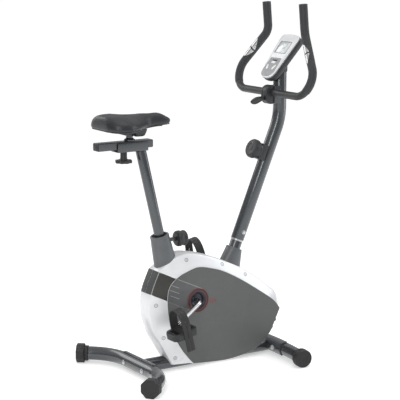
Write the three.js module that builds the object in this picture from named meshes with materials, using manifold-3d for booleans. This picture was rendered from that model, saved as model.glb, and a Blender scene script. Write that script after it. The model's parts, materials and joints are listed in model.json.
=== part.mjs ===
// Upright exercise bike: a welded tube frame on two cross feet, a clamshell cover round a belt-driven
// magnetic flywheel, a one-piece crank with strapped pedals, a pinned seat post with a sliding saddle,
// and a leaning mast that carries a looped handlebar, a tension knob and a small console.
// Millimetres, +Z up, +X forward, +Y to the rider's left. The floor is z = 0.
import * as THREE from 'three';
import { mergeVertices } from 'three/addons/utils/BufferGeometryUtils.js';
import Module from 'manifold-3d';

// ---- Driving dimensions ----
const gap = 0.3;                 // left between pieces that touch
const weld_gap = 0.8;            // the same round a bowed foot, whose curve eats a little of it
const slide_fit = 0.3;           // each side of a piece that slides or turns
const round_sides = 16;
const sweep_sides = 12;

const foot_radius = 34;          // centre height of both cross feet
const foot_tube_d = 50.8;
const frame_tube_d = 50;
const tube_wall = 2;

const spine_z = 29;               // the spine hangs a little lower than the feet
const rear_foot = { x: -262, flat_half: 91, end_radius: 184, end_deg: 52.5, end_run: 6 };
const front_foot = { x: 318, half_span: 228, bow_radius: 1330 };
const leveller = { length: 30, ring_length: 14, ring_d: 58, sides: 8, bevel: 3 };
const plug_in = 5;                 // how far an end piece reaches into its tube
const roller = { length: 32, ribs: 2 };
const bracket_wall = 4;
const rear_bracket_half = 104;
const front_bracket_half = 118;
const bolt_offset = 66;          // carriage bolts, each side of the middle
const bolt = { d: 8, head_d: 18, head_h: 4.5, nut_d: 19, nut_h: 10 };

const seat_axis = { x: -171, z: 506, lean_deg: 13.4 };      // a point on the axis, and its lean to the rear
const seat_tube = { d: 48, wall: 2, top_z: 500 };
const seat_post = { d: 38, wall: 2, bottom_z: 300, top_z: 824 };
const bushing = { flange_d: 54, flange_h: 3, length: 90 };
const seat_boot = { top_d: 68, base_x: 100, base_y: 71, top_over: 8, bottom_z: 350 };
const pop_pin = { z: 487, d: 9, barrel_d: 15, barrel_end: 63, knob_start: 64, knob_d: 58, knob_length: 40 };

const channel = { rear_x: -352, front_x: -230, bottom_z: 825, height: 33, half_width: 26, wall: 3 };
const bar = { rear_x: -426, front_x: -208, width: 38, height: 28, z: 848, wall: 2 };
const saddle_knob = { x: -316, disc_d: 62, disc_h: 11, disc_bottom_z: 784, neck_d: 24, lobes: 8 };
const saddle_stem = { x: -292, d: 25, flange_d: 40, flange_h: 5, top_z: 896 };
const saddle = { rear_x: -414, nose_x: -126, half_width: 110, bottom_z: 904, top_z: 952, nose_drop_deg: 46 };
const saddle_base = {
  bottom_z: 876, thickness: 6, margin: 32, collar_d: 38, collar_z: 886,
  keel_from: 14, keel_to: 52, half_width: 24 };

const crank = {
  x: -41, z: 260, throw: 150, drop_deg: 34, bar_d: 15, arm_y: 84, eye_y: 89.5, eye_d: 25, eye_w: 14, bend: 20 };
const crank_shell = { d: 50, wall: 2.5, right_y: -34, left_y: 26 };
const strut_d = 34;
const pulley = { r: 100, y: 31, width: 10, web: 4, hub_d: 34 };
const belt_thick = 2.2;
const pedal = { length: 100, width: 84, thick: 24, inner_y: 101, spindle_d: 11, tilt_deg: 13 };
const strap = { width: 31, thick: 3.2, right_rise: 92, left_rise: 104, side_out: 4, tail: 48 };

const flywheel = { x: 195, z: 178, r: 100, width: 20, web: 8, hub_d: 44, shaft_d: 12 };
const small_pulley_r = 14;
const fork = { y: 14, thick: 4, base_half: 40, eye_d: 34 };
const magnet = {
  gap: 4, thick: 8, start_deg: 68, pivot_deg: 132,
  hook: 8, hook_from_deg: 120, hook_to_deg: 124, eye_d: 14, pin_d: 7 };

const cover = { wall: 2.5, seam: 0.3, rim_y: 35, flat_y: 53, crown: 3, spine_slot: 27, slot_top_z: 62 };
const side_panel = { thick: 3, inset: 1.5 };
const crank_hole_d = 70;

const mast = { foot_x: 178, foot_z: 481, lean_deg: 23, bottom_z: 455, top_x: 356, top_z: 1086, d: 50, bend: 220 };
const stub = { d: 45, top_z: 540 };
const mast_boot = { top_d: 60, base_x: 118, base_y: 66, top_z: 424, bottom_z: 315, base_shift: 4 };
const cable_d = 4;
const cable_hook_clear = 4;      // the cable stops this far above the hook that it lifts
const tension = {
  along: 309, box_w: 46, box_l: 60, box_out: 44, base_d: 62, base_h: 10, knob_d: 72, knob_face: 79, gap: 0.6 };

const handlebar = {
  x: 311, z: mast.top_z - 89, d: 28, wall: 2, rake_deg: 18.2, straight: 164, loop_bend: 66, arm_in_deg: 38.7 };
const grip_top = { x: 374, y: 115.6, z: mast.top_z + 239, bend: 60 };
const sensor = { length: 58, d: handlebar.d + 3, from_top: 172 };
const grip = { d: handlebar.d + 4, sleeve_gap: 0.8 };
const clamp = { width: 38, outer_d: handlebar.d + 28, drop: 42, split: 6 };
const bar_bracket = { half_width: 19, height: 66, wall: 4, drop: 8 };
const lever = {
  below: 19, back: 29, tilt_deg: 14, screw_d: 8, screw_in: 16, neck_d: 18, length: 58, width: 28, thick: 14 };

const console_unit = {
  length: 194, top_width: 108, bottom_width: 82, tilt_deg: 50.9, face_x: 346,
  face_z: mast.top_z + 46 };
const console_depth = { face: 6, body: 24, bevel: 9, boss_d: 56, boss_h: 14 };
const screen_window = { x: 38, length: 50, width: 68, depth: 1.5 };
const button = { height: 5, proud: 1.8, fit: 0.4 };

// ---- Finishes ----
const finish = (color, roughness, metalness) => new THREE.MeshStandardMaterial({ color, roughness, metalness });
const gunmetal = finish(0x4d5254, 0.32, 0.6);
const boot_grey = finish(0x55595c, 0.5, 0.0);
const chrome = finish(0xd8dadb, 0.15, 1.0);
const cast_iron = finish(0x3a3b3d, 0.6, 0.8);
const zinc = finish(0xa9adb0, 0.35, 0.9);
const black_plastic = finish(0x1d1e20, 0.5, 0.0);
const rubber = finish(0x202123, 0.85, 0.0);
const white_shell = finish(0xe9eaec, 0.35, 0.0);
const panel_grey = finish(0x5c5e5d, 0.5, 0.0);
const vinyl = finish(0x2a2c30, 0.55, 0.0);
const foam = finish(0x303235, 0.9, 0.0);
const silver_face = finish(0xdfe2e4, 0.3, 0.1);
const bushing_plastic = finish(0x2b2c2e, 0.6, 0.0);

// ---- Making solids ----
const wasm = await Module();
wasm.setup();

/** A closed three.js geometry as a manifold solid with its faces pointing out. */
function solid(geometry) {
  const bare = geometry.clone();
  for (const name of Object.keys(bare.attributes)) if (name !== 'position') bare.deleteAttribute(name);
  const merged = mergeVertices(bare, 1e-4);
  const index = Uint32Array.from(merged.index.array);
  const build = triangles => new wasm.Manifold(new wasm.Mesh({
    numProp: 3, vertProperties: Float32Array.from(merged.attributes.position.array), triVerts: triangles }));
  const made = build(index);
  if (made.volume() > 0) return made;
  for (let i = 0; i < index.length; i += 3) [index[i + 1], index[i + 2]] = [index[i + 2], index[i + 1]];
  return build(index);
}

/** The geometry of a manifold solid. */
function geometry_of(made) {
  const mesh = made.getMesh();
  const geometry = new THREE.BufferGeometry();
  geometry.setAttribute('position', new THREE.BufferAttribute(Float32Array.from(mesh.vertProperties), 3));
  geometry.setIndex(new THREE.BufferAttribute(Uint32Array.from(mesh.triVerts), 1));
  geometry.computeVertexNormals();
  return geometry;
}

const join = (...pieces) => geometry_of(pieces.map(solid).reduce((a, b) => a.add(b)));
const cut = (piece, ...tools) => geometry_of(tools.map(solid).reduce((a, b) => a.subtract(b), solid(piece)));

const bike = new THREE.Group();

/** Adds a named piece to the bike, or to a group that places it. */
function piece(name, geometry, material, parent = bike) {
  const mesh = new THREE.Mesh(geometry_of(solid(geometry)), material);
  mesh.name = name;
  parent.add(mesh);
  return mesh;
}

const v = (x, y, z) => new THREE.Vector3(x, y, z);
const rad = THREE.MathUtils.degToRad;

/** A solid of revolution about Z from [radius, height] pairs that start and end on the axis. */
function turned(profile, sides = round_sides) {
  const points = profile.map(([r, h]) => new THREE.Vector2(r, h));
  return new THREE.LatheGeometry(points, sides).rotateX(Math.PI / 2);
}

/** A rod along Z from height a to height b. */
const rod = (d, a, b, sides = round_sides) => turned([[0, a], [d / 2, a], [d / 2, b], [0, b]], sides);

/** A ring along Z: outer and inner diameter, from height a to height b. */
function ring(outer, inner, a, b, sides = round_sides) {
  return turned([[inner / 2, a], [outer / 2, a], [outer / 2, b], [inner / 2, b], [inner / 2, a]], sides);
}

/** A box given by its low and high corners. */
function block(x0, x1, y0, y1, z0, z1) {
  return new THREE.BoxGeometry(x1 - x0, y1 - y0, z1 - z0).translate((x0 + x1) / 2, (y0 + y1) / 2, (z0 + z1) / 2);
}

/** Turns a solid made along Z so that it lies along +Y, with its local X kept. */
const along_y = geometry => geometry.rotateX(-Math.PI / 2);

/** An outline in X-Z extruded along Y from y0 to y1. */
function plate(shape, y0, y1, curve_steps = 8) {
  const flat = new THREE.ExtrudeGeometry(shape, { depth: y1 - y0, bevelEnabled: false, curveSegments: curve_steps });
  return flat.rotateX(Math.PI / 2).translate(0, y1, 0);
}

/** Stations of a centreline through corner points, each corner rounded to its radius. */
function bent(points, radii, step_deg = 12) {
  const stations = [points[0].clone()];
  for (let i = 1; i < points.length - 1; i++) {
    const into = points[i].clone().sub(points[i - 1]).normalize();
    const out = points[i + 1].clone().sub(points[i]).normalize();
    const turn = into.angleTo(out);
    const radius = radii[i - 1];
    const start = points[i].clone().addScaledVector(into, -radius * Math.tan(turn / 2));
    const inward = out.clone().addScaledVector(into, -out.dot(into)).normalize();
    const steps = Math.max(2, Math.ceil(THREE.MathUtils.radToDeg(turn) / step_deg));
    for (let k = 0; k <= steps; k++) {
      const angle = turn * k / steps;
      stations.push(start.clone().addScaledVector(into, radius * Math.sin(angle))
        .addScaledVector(inward, radius * (1 - Math.cos(angle))));
    }
  }
  stations.push(points[points.length - 1].clone());
  return stations;
}

/** The stretch of a centreline between two distances along it. */
function stretch(stations, from, to) {
  const kept = [];
  let before = 0;
  for (let i = 1; i < stations.length; i++) {
    const run = stations[i].distanceTo(stations[i - 1]);
    const after = before + run;
    if (kept.length === 0 && after > from) kept.push(stations[i - 1].clone().lerp(stations[i], (from - before) / run));
    if (kept.length > 0 && after >= to) {
      kept.push(stations[i - 1].clone().lerp(stations[i], (to - before) / run));
      return kept;
    }
    if (kept.length > 0) kept.push(stations[i].clone());
    before = after;
  }
  return kept;
}

const length_of = stations => stations.slice(1).reduce((sum, p, i) => sum + p.distanceTo(stations[i]), 0);

/** A curve that visits its stations at equal steps, so that an extrusion puts one ring on each. */
class StationCurve extends THREE.Curve {
  constructor(stations) {
    super();
    this.stations = stations;
  }
  getPoint(t, target = new THREE.Vector3()) {
    const place = t * (this.stations.length - 1);
    const i = Math.min(Math.floor(place + 1e-9), this.stations.length - 2);
    return target.lerpVectors(this.stations[i], this.stations[i + 1], place - i);
  }
  getPointAt(u, target) {
    return this.getPoint(u, target);
  }
  getTangentAt(u, target = new THREE.Vector3()) {
    const i = Math.round(u * (this.stations.length - 1));
    const back = this.stations[Math.max(i - 1, 0)];
    const here = this.stations[i];
    const ahead = this.stations[Math.min(i + 1, this.stations.length - 1)];
    target.copy(here).sub(back).normalize();
    return target.add(ahead.clone().sub(here).normalize()).normalize();
  }
}

/** A section swept along stations: a ring when it has a bore, otherwise a solid bar. */
function swept(stations, outer_d, inner_d = 0, sides = sweep_sides) {
  const section = new THREE.Shape();
  section.absarc(0, 0, outer_d / 2, 0, Math.PI * 2);
  if (inner_d > 0) {
    const bore = new THREE.Path();
    bore.absarc(0, 0, inner_d / 2, 0, Math.PI * 2, true);
    section.holes.push(bore);
  }
  return new THREE.ExtrudeGeometry(section, {
    extrudePath: new StationCurve(stations), steps: stations.length - 1, curveSegments: sides / 2 });
}

/** A skin through rings of equal count, closed by a flat cap at each end. */
function lofted(rings) {
  const count = rings[0].length;
  const positions = rings.flat().flatMap(p => [p.x, p.y, p.z]);
  const index = [];
  for (let r = 0; r < rings.length - 1; r++) {
    for (let k = 0; k < count; k++) {
      const a = r * count + k;
      const b = r * count + (k + 1) % count;
      index.push(a, b, a + count, b, b + count, a + count);
    }
  }
  const flat = rings[0].map(p => new THREE.Vector2(p.x, Math.abs(rings[0][0].y - rings[0][1].y) < 1e-6 ? p.z : p.y));
  for (const [i, j, k] of THREE.ShapeUtils.triangulateShape(flat, [])) {
    index.push(i, k, j);
    const last = (rings.length - 1) * count;
    index.push(last + i, last + j, last + k);
  }
  const geometry = new THREE.BufferGeometry();
  geometry.setAttribute('position', new THREE.Float32BufferAttribute(positions, 3));
  geometry.setIndex(index);
  return geometry;
}

/** An oval ring at one height, for lofting boots. */
function oval(x, y, z, half_x, half_y, sides = 20) {
  return Array.from({ length: sides }, (_, k) => {
    const angle = 2 * Math.PI * k / sides;
    return v(x + half_x * Math.cos(angle), y + half_y * Math.sin(angle), z);
  });
}

// ---- Axes that several pieces share ----
const seat_up = v(-Math.sin(rad(seat_axis.lean_deg)), 0, Math.cos(rad(seat_axis.lean_deg)));
const seat_at = z => v(seat_axis.x - (z - seat_axis.z) * Math.tan(rad(seat_axis.lean_deg)), 0, z);
const mast_up = v(Math.sin(rad(mast.lean_deg)), 0, Math.cos(rad(mast.lean_deg)));
const mast_back = v(-mast_up.z, 0, mast_up.x);
const mast_at = z => v(mast.foot_x + (z - mast.foot_z) * Math.tan(rad(mast.lean_deg)), 0, z);
const foot_z = foot_radius;
const spine_top = spine_z + frame_tube_d / 2;

// ---- Cross feet and spine ----
function rear_foot_line() {
  const turn = rad(rear_foot.end_deg);
  const half = [v(rear_foot.x, rear_foot.flat_half, foot_z)];
  const steps = 5;
  for (let k = 1; k <= steps; k++) {
    const a = turn * k / steps;
    half.push(v(rear_foot.x - rear_foot.end_radius * (1 - Math.cos(a)),
      rear_foot.flat_half + rear_foot.end_radius * Math.sin(a), foot_z));
  }
  const heading = v(-Math.sin(turn), Math.cos(turn), 0);
  half.push(half[half.length - 1].clone().addScaledVector(heading, rear_foot.end_run));
  return { half, heading };
}

function front_foot_line() {
  const steps = 4;
  const turn = front_foot.half_span / front_foot.bow_radius;
  const half = Array.from({ length: steps }, (_, k) => {
    const a = turn * (k + 1) / steps;
    return v(front_foot.x - front_foot.bow_radius * (1 - Math.cos(a)), front_foot.bow_radius * Math.sin(a), foot_z);
  });
  const heading = half[steps - 1].clone().sub(half[steps - 2]).normalize();
  return { half: [v(front_foot.x, 0, foot_z), ...half], heading };
}

const mirrored = stations => stations.map(p => v(p.x, -p.y, p.z)).reverse();
const rear_line = rear_foot_line();
const front_line = front_foot_line();
const rear_stations = [...mirrored(rear_line.half), ...rear_line.half];
const front_stations = [...mirrored(front_line.half), ...front_line.half.slice(1)];

const foot_bolt_holes = x => [-1, 1].map(side => {
  const hole = rod(bolt.d + 2 * gap, -60, 60, 12).rotateY(Math.PI / 2);
  return hole.translate(x, side * bolt_offset, foot_z);
});

piece('rear_stabilizer', cut(swept(rear_stations, foot_tube_d, foot_tube_d - 2 * tube_wall),
  ...foot_bolt_holes(rear_foot.x)), gunmetal);
piece('front_stabilizer', cut(swept(front_stations, foot_tube_d, foot_tube_d - 2 * tube_wall),
  ...foot_bolt_holes(front_foot.x)), gunmetal);

const middle = (stations, half) =>
  stretch(stations, length_of(stations) / 2 - half, length_of(stations) / 2 + half);
const bracket_d = foot_tube_d + 2 * (bracket_wall + gap);

/** A curved steel saddle that wraps the side of a cross foot which faces the spine. */
function saddle_bracket(foot_x, facing, half, stations) {
  const outer = swept(middle(stations, half), bracket_d, 0, 16);
  const foot_space = swept(stations, foot_tube_d + 4 * gap, 0, 16);
  const back = foot_x - facing * 4;
  const far = foot_x - facing * 2 * bracket_d;
  const far_side = block(Math.min(back, far), Math.max(back, far), -half - 9, half + 9, -bracket_d, 3 * bracket_d);
  const under = block(foot_x - 2 * bracket_d, foot_x + 2 * bracket_d, -half - 9, half + 9, -bracket_d, 10);
  return cut(outer, foot_space, far_side, under, ...foot_bolt_holes(foot_x));
}
piece('rear_bracket', saddle_bracket(rear_foot.x, 1, rear_bracket_half, rear_stations), gunmetal);
piece('front_bracket', saddle_bracket(front_foot.x, -1, front_bracket_half, front_stations), gunmetal);

/** A carriage bolt with its domed nut: the head on the foot's outer side, the nut on the bracket. */
function carriage_bolt(name, foot_x, side, facing) {
  const reach = foot_tube_d / 2 + gap;
  const nut_from = bracket_d / 2 + gap;
  const body = turned([[0, -reach - bolt.head_h], [bolt.head_d * 0.32, -reach - bolt.head_h * 0.8],
    [bolt.head_d / 2, -reach], [bolt.d / 2, -reach], [bolt.d / 2, nut_from], [bolt.nut_d / 2, nut_from],
    [bolt.nut_d / 2, nut_from + 2], [bolt.nut_d * 0.36, nut_from + 2.5],
    [bolt.nut_d * 0.3, nut_from + bolt.nut_h * 0.8], [0, nut_from + bolt.nut_h]], 16);
  const mesh = piece(name, body, zinc);
  mesh.position.set(foot_x, side * bolt_offset, foot_z);
  mesh.rotation.y = facing * Math.PI / 2;
}
carriage_bolt('rear_bolt_left', rear_foot.x, 1, 1);
carriage_bolt('rear_bolt_right', rear_foot.x, -1, 1);

const bracket_space = x => rod(bracket_d + 2 * weld_gap, -60, 60, 32).rotateX(Math.PI / 2).translate(x, 0, foot_z);
const spine_bar = ring(frame_tube_d, frame_tube_d - 2 * tube_wall, rear_foot.x, front_foot.x);
piece('spine_tube', cut(spine_bar.rotateY(Math.PI / 2).translate(0, 0, spine_z),
  bracket_space(rear_foot.x), bracket_space(front_foot.x)), gunmetal);

// ---- Rear levellers and front rollers ----
function end_piece(name, end, heading, geometry) {
  const mesh = piece(name, geometry, rubber);
  mesh.position.copy(end);
  mesh.quaternion.setFromUnitVectors(v(0, 0, 1), heading);
  // The turn that aims +Z sideways leaves one flat of the leveller facing the floor.
  mesh.rotateZ(name.startsWith('rear') ? level_turn(mesh.quaternion) : 0);
  return mesh;
}

/** The turn about its own axis that puts the middle of a flat straight down. */
function level_turn(quaternion) {
  const x = v(1, 0, 0).applyQuaternion(quaternion);
  const y = v(0, 1, 0).applyQuaternion(quaternion);
  return Math.atan2(-y.z, -x.z);
}

const plug_d = (foot_tube_d - 2 * tube_wall) * Math.cos(Math.PI / sweep_sides) - 2 * slide_fit;
function leveller_body() {
  const corner_d = 2 * foot_radius / Math.cos(Math.PI / leveller.sides);
  const end = leveller.ring_length + leveller.length;
  const outer = turned([[0, leveller.ring_length], [corner_d / 2, leveller.ring_length],
    [corner_d / 2, end - leveller.bevel], [corner_d / 2 - leveller.bevel, end], [0, end]], leveller.sides)
    .rotateZ(Math.PI / leveller.sides);
  const sleeve = rod(leveller.ring_d, gap, leveller.ring_length + 1);
  return join(outer, sleeve, rod(plug_d, -plug_in, 1));
}

function roller_body() {
  const groove = 1.2;
  const profile = [[0, -plug_in], [plug_d / 2, -plug_in], [plug_d / 2, gap], [foot_radius - 1, gap]];
  const rib = (roller.length - gap) / roller.ribs;
  for (let k = 0; k < roller.ribs; k++) {
    const from = gap + k * rib;
    profile.push([foot_radius, from + 1], [foot_radius, from + rib - 3], [foot_radius - groove, from + rib - 1.5]);
  }
  profile.push([foot_radius - 3, roller.length], [0, roller.length]);
  return turned(profile, 20);
}

for (const [side_name, side] of [['left', 1], ['right', -1]]) {
  const place = (line, name, body) => {
    const end = line.half[line.half.length - 1];
    return end_piece(name, v(end.x, side * end.y, end.z), v(line.heading.x, side * line.heading.y, 0), body);
  };
  place(rear_line, `rear_leveller_${side_name}`, leveller_body());
  place(front_line, `front_roller_${side_name}`, roller_body());
}

// ---- Frame tubes that stand on the spine ----
const spine_space = rod(frame_tube_d + 2 * gap, -300, 300, 32).rotateY(Math.PI / 2).translate(0, 0, spine_z);

/** A tube along a leaning axis, in the bike's frame. */
function leaning(geometry, at, up) {
  const turn = new THREE.Quaternion().setFromUnitVectors(v(0, 0, 1), up);
  return geometry.applyQuaternion(turn).translate(at.x, at.y, at.z);
}
const up_seat = (geometry, z) => leaning(geometry, seat_at(z), seat_up);
const up_mast = (geometry, z) => leaning(geometry, mast_at(z), mast_up);
const seat_run = (z0, z1) => (z1 - z0) / seat_up.z;
const mast_run = (z0, z1) => (z1 - z0) / mast_up.z;

const seat_skin = up_seat(rod(seat_tube.d + 2 * gap, -600, 600, 24), 0);
const stub_skin = up_mast(rod(stub.d + 2 * gap, -600, 600, 24), 0);

const pin_at = seat_at(pop_pin.z);
const along_pin = geometry => leaning(geometry, pin_at, v(1, 0, 0));
const pin_hole = along_pin(rod(pop_pin.d + 2 * slide_fit, 0, 80, 16));
const barrel_space = along_pin(rod(pop_pin.barrel_d + 2 * gap, 0, 80));

const seat_tube_bar = ring(seat_tube.d, seat_tube.d - 2 * seat_tube.wall, 0, seat_run(foot_z, seat_tube.top_z));
const seat_tube_inside = up_seat(rod(seat_tube.d - 2 * seat_tube.wall, -600, 600), 0);
const pin_barrel = cut(along_pin(rod(pop_pin.barrel_d, seat_tube.d / 4, pop_pin.barrel_end)), seat_tube_inside);
const seat_tube_on_spine = cut(up_seat(seat_tube_bar, foot_z), spine_space);
piece('seat_tube', cut(join(seat_tube_on_spine, pin_barrel), pin_hole), gunmetal);

const bushing_d = seat_tube.d - 2 * seat_tube.wall - 2 * gap;
const bushing_bore = seat_post.d + 2 * slide_fit;
const bushing_top = gap + bushing.flange_h;
const bushing_ring = turned([[bushing_bore / 2, -bushing.length], [bushing_d / 2, -bushing.length],
  [bushing_d / 2, gap], [bushing.flange_d / 2, gap], [bushing.flange_d / 2, bushing_top],
  [bushing_bore / 2, bushing_top], [bushing_bore / 2, -bushing.length]]);
piece('seat_bushing', cut(up_seat(bushing_ring, seat_tube.top_z), pin_hole), bushing_plastic);

const at_crank = geometry => along_y(geometry).translate(crank.x, 0, crank.z);
const shell_bore_d = crank_shell.d - 2 * crank_shell.wall;
const shell_ring = at_crank(ring(crank_shell.d, shell_bore_d, crank_shell.right_y, crank_shell.left_y));
const shell_bore = at_crank(rod(shell_bore_d, -60, 60));
const strut = rod(strut_d, seat_at(crank.z).x, mast_at(crank.z).x).rotateY(Math.PI / 2)
  .translate(0, 0, crank.z);
piece('crank_shell', cut(join(shell_ring, strut), seat_skin, stub_skin, shell_bore), gunmetal);

const stub_bar = ring(stub.d, stub.d - 2 * tube_wall, 0, mast_run(foot_z, stub.top_z));
const cable_exit_z = 330;
const cable_hole = up_mast(rod(cable_d + 4, 0, 60, 12).rotateY(Math.PI / 2), cable_exit_z);
piece('mast_stub', cut(up_mast(stub_bar, foot_z), spine_space, cable_hole), gunmetal);

// ---- Covers ----
const cover_middle = v(60, 0, 215);

/** Rim outline of the covers, clockwise from the rear foot of the shell. */
function rim_outline() {
  const shape = new THREE.Shape();
  shape.moveTo(-138, 25);
  shape.splineThru([[-181, 96], [-212, 150], [-234, 225], [-231, 300], [-197, 382]].map(p => new THREE.Vector2(...p)));
  shape.splineThru([[-156, 407], [-113, 428], [-70, 434], [8, 417], [90, 386], [163, 352], [245, 301], [312, 248]]
    .map(p => new THREE.Vector2(...p)));
  shape.splineThru([[327, 222], [334, 186], [322, 148]].map(p => new THREE.Vector2(...p)));
  shape.lineTo(293, 96);
  shape.splineThru([[262, 62], [222, 34], [156, 18], [81, 11], [8, 14], [-61, 20]].map(p => new THREE.Vector2(...p)));
  return shape;
}

/** Outline of the flat side panel inside it. */
function panel_outline() {
  const shape = new THREE.Shape();
  shape.moveTo(-61, 22);
  shape.splineThru([[-108, 78], [-143, 140], [-164, 205], [-171, 268], [-164, 316], [-143, 344], [-111, 365]]
    .map(p => new THREE.Vector2(...p)));
  shape.splineThru([[-43, 384], [21, 373], [80, 352], [154, 312], [229, 264], [298, 216], [328, 180]]
    .map(p => new THREE.Vector2(...p)));
  shape.lineTo(288, 97);
  shape.splineThru([[257, 65], [218, 37], [156, 21], [81, 14], [8, 17]].map(p => new THREE.Vector2(...p)));
  return shape;
}

/** Where rays from the cover's middle cross an outline, moved out by a distance. */
function ray_ring(shape, y, outward, count = 48) {
  const points = shape.getPoints(10);
  return Array.from({ length: count }, (_, k) => {
    const angle = 2 * Math.PI * k / count;
    const ray = new THREE.Vector2(Math.cos(angle), Math.sin(angle));
    let far = 0;
    points.forEach((a, i) => {
      const edge = points[(i + 1) % points.length].clone().sub(a);
      const to = a.clone().sub(new THREE.Vector2(cover_middle.x, cover_middle.z));
      const cross = ray.x * edge.y - ray.y * edge.x;
      if (Math.abs(cross) < 1e-9) return;
      const distance = (to.x * edge.y - to.y * edge.x) / cross;
      const share = (to.x * ray.y - to.y * ray.x) / cross;
      if (share >= -1e-6 && share <= 1 + 1e-6) far = Math.max(far, distance);
    });
    return v(cover_middle.x + ray.x * (far + outward), y, cover_middle.z + ray.y * (far + outward));
  });
}

/** The outer form of one cover, from the seam outwards, grown by a clearance. */
function cover_form(side, outward, from_y) {
  const crown = cover.crown * (1 - (from_y / cover.rim_y) ** 2);
  return lofted([ray_ring(rim_outline(), side * from_y, outward + crown),
    ray_ring(rim_outline(), side * cover.rim_y / 2, outward + cover.crown * 0.75),
    ray_ring(rim_outline(), side * cover.rim_y, outward),
    ray_ring(panel_outline(), side * (cover.flat_y + Math.max(outward, -cover.wall)), outward)]);
}

const seat_space = up_seat(rod(seat_tube.d + 4 * gap, -600, 600, 24), 0);
const stub_space = up_mast(rod(stub.d + 4 * gap, -600, 600, 24), 0);
const spine_slot = block(-400, 400, -cover.spine_slot, cover.spine_slot, -1, cover.slot_top_z);
const crank_opening = at_crank(rod(crank_hole_d, -100, 100, 36));

for (const [side_name, side] of [['right', -1], ['left', 1]]) {
  const inner = lofted([ray_ring(rim_outline(), side * -1, -cover.wall),
    ray_ring(rim_outline(), side * (cover.rim_y - 1), -cover.wall),
    ray_ring(panel_outline(), side * (cover.flat_y - cover.wall), -cover.wall)]);
  const shell = cut(cover_form(side, 0, cover.seam / 2), inner, seat_space, stub_space, spine_slot, crank_opening);
  piece(`${side_name}_cover`, shell, white_shell);
  const plate_from = cover.flat_y + gap;
  const sheet = lofted([ray_ring(panel_outline(), side * plate_from, -side_panel.inset),
    ray_ring(panel_outline(), side * (plate_from + side_panel.thick), -side_panel.inset - 1)]);
  piece(`${side_name}_side_panel`, cut(sheet, crank_opening), panel_grey);
}

/** A boot from a round top, square to its tube, to an oval base that sits on the covers. */
function boot(top, up, top_d, base, base_x, base_y, ...tools) {
  const turn = new THREE.Quaternion().setFromUnitVectors(v(0, 0, 1), up);
  const top_ring = oval(0, 0, 0, top_d / 2, top_d / 2).map(q => q.applyQuaternion(turn).add(top));
  const form = lofted([oval(base.x, 0, base.z, base_x / 2, base_y / 2), top_ring]);
  return cut(form, cover_form(1, gap, 0), cover_form(-1, gap, 0), ...tools);
}
const flange_space = up_seat(rod(bushing.flange_d + 2 * gap, -4, 60), seat_tube.top_z);
const seat_boot_top = seat_at(seat_tube.top_z + seat_boot.top_over);
piece('seat_boot', boot(seat_boot_top, seat_up, seat_boot.top_d, seat_at(seat_boot.bottom_z), seat_boot.base_x,
  seat_boot.base_y, seat_space, flange_space, barrel_space), boot_grey);
const mast_boot_base = mast_at(mast_boot.bottom_z).add(v(mast_boot.base_shift, 0, 0));
piece('mast_boot', boot(mast_at(mast_boot.top_z), mast_up, mast_boot.top_d, mast_boot_base, mast_boot.base_x,
  mast_boot.base_y, stub_space), boot_grey);

// ---- Crank, pedals and straps ----
const crank_drop = rad(crank.drop_deg);
const arm_end = side => v(crank.x + side * crank.throw * Math.cos(crank_drop), side * crank.arm_y,
  crank.z + side * crank.throw * Math.sin(crank_drop));
const crank_half = crank.arm_y - 6;
const crank_line = bent(
  [arm_end(-1), v(crank.x, -crank_half, crank.z), v(crank.x, crank_half, crank.z), arm_end(1)],
  [crank.bend, crank.bend], 20);
const spindle_reach = pedal.inner_y + pedal.width - 6;
function crank_end(side) {
  const eye = rod(crank.eye_d, -crank.eye_w / 2, crank.eye_w / 2);
  const reach = side * (spindle_reach - crank.eye_y);
  const spindle = rod(pedal.spindle_d, Math.min(0, reach), Math.max(0, reach), 16);
  const at = arm_end(side);
  return along_y(join(eye, spindle)).translate(at.x, side * crank.eye_y, at.z);
}
piece('crank', join(swept(crank_line, crank.bar_d, 0, 10), crank_end(1), crank_end(-1)), chrome);

const bearing_w = 9;
const bearing_places = { right: crank_shell.right_y, left: crank_shell.left_y - bearing_w };
for (const [side_name, y0] of Object.entries(bearing_places)) {
  const name = `crank_bearing_${side_name}`;
  const race = ring(shell_bore_d - 2 * gap, crank.bar_d + 2 * slide_fit, y0, y0 + bearing_w);
  piece(name, at_crank(race), zinc);
}

/** A belt wheel about Y: rim, thin web and hub, from y0 outwards. */
function belt_wheel(r, bore_d) {
  const w = pulley.width;
  const web0 = (w - pulley.web) / 2;
  const hub = pulley.hub_d / 2;
  const rim = r - 9;
  return along_y(turned([[bore_d / 2, 0], [hub, 0], [hub, web0], [rim, web0], [rim, 0], [r, 0], [r, w], [rim, w],
    [rim, w - web0], [hub, w - web0], [hub, w], [bore_d / 2, w], [bore_d / 2, 0]], 24));
}
const crank_wheel = belt_wheel(pulley.r, crank.bar_d + 2 * gap).translate(crank.x, pulley.y, crank.z);
piece('crank_pulley', crank_wheel, black_plastic);

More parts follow.
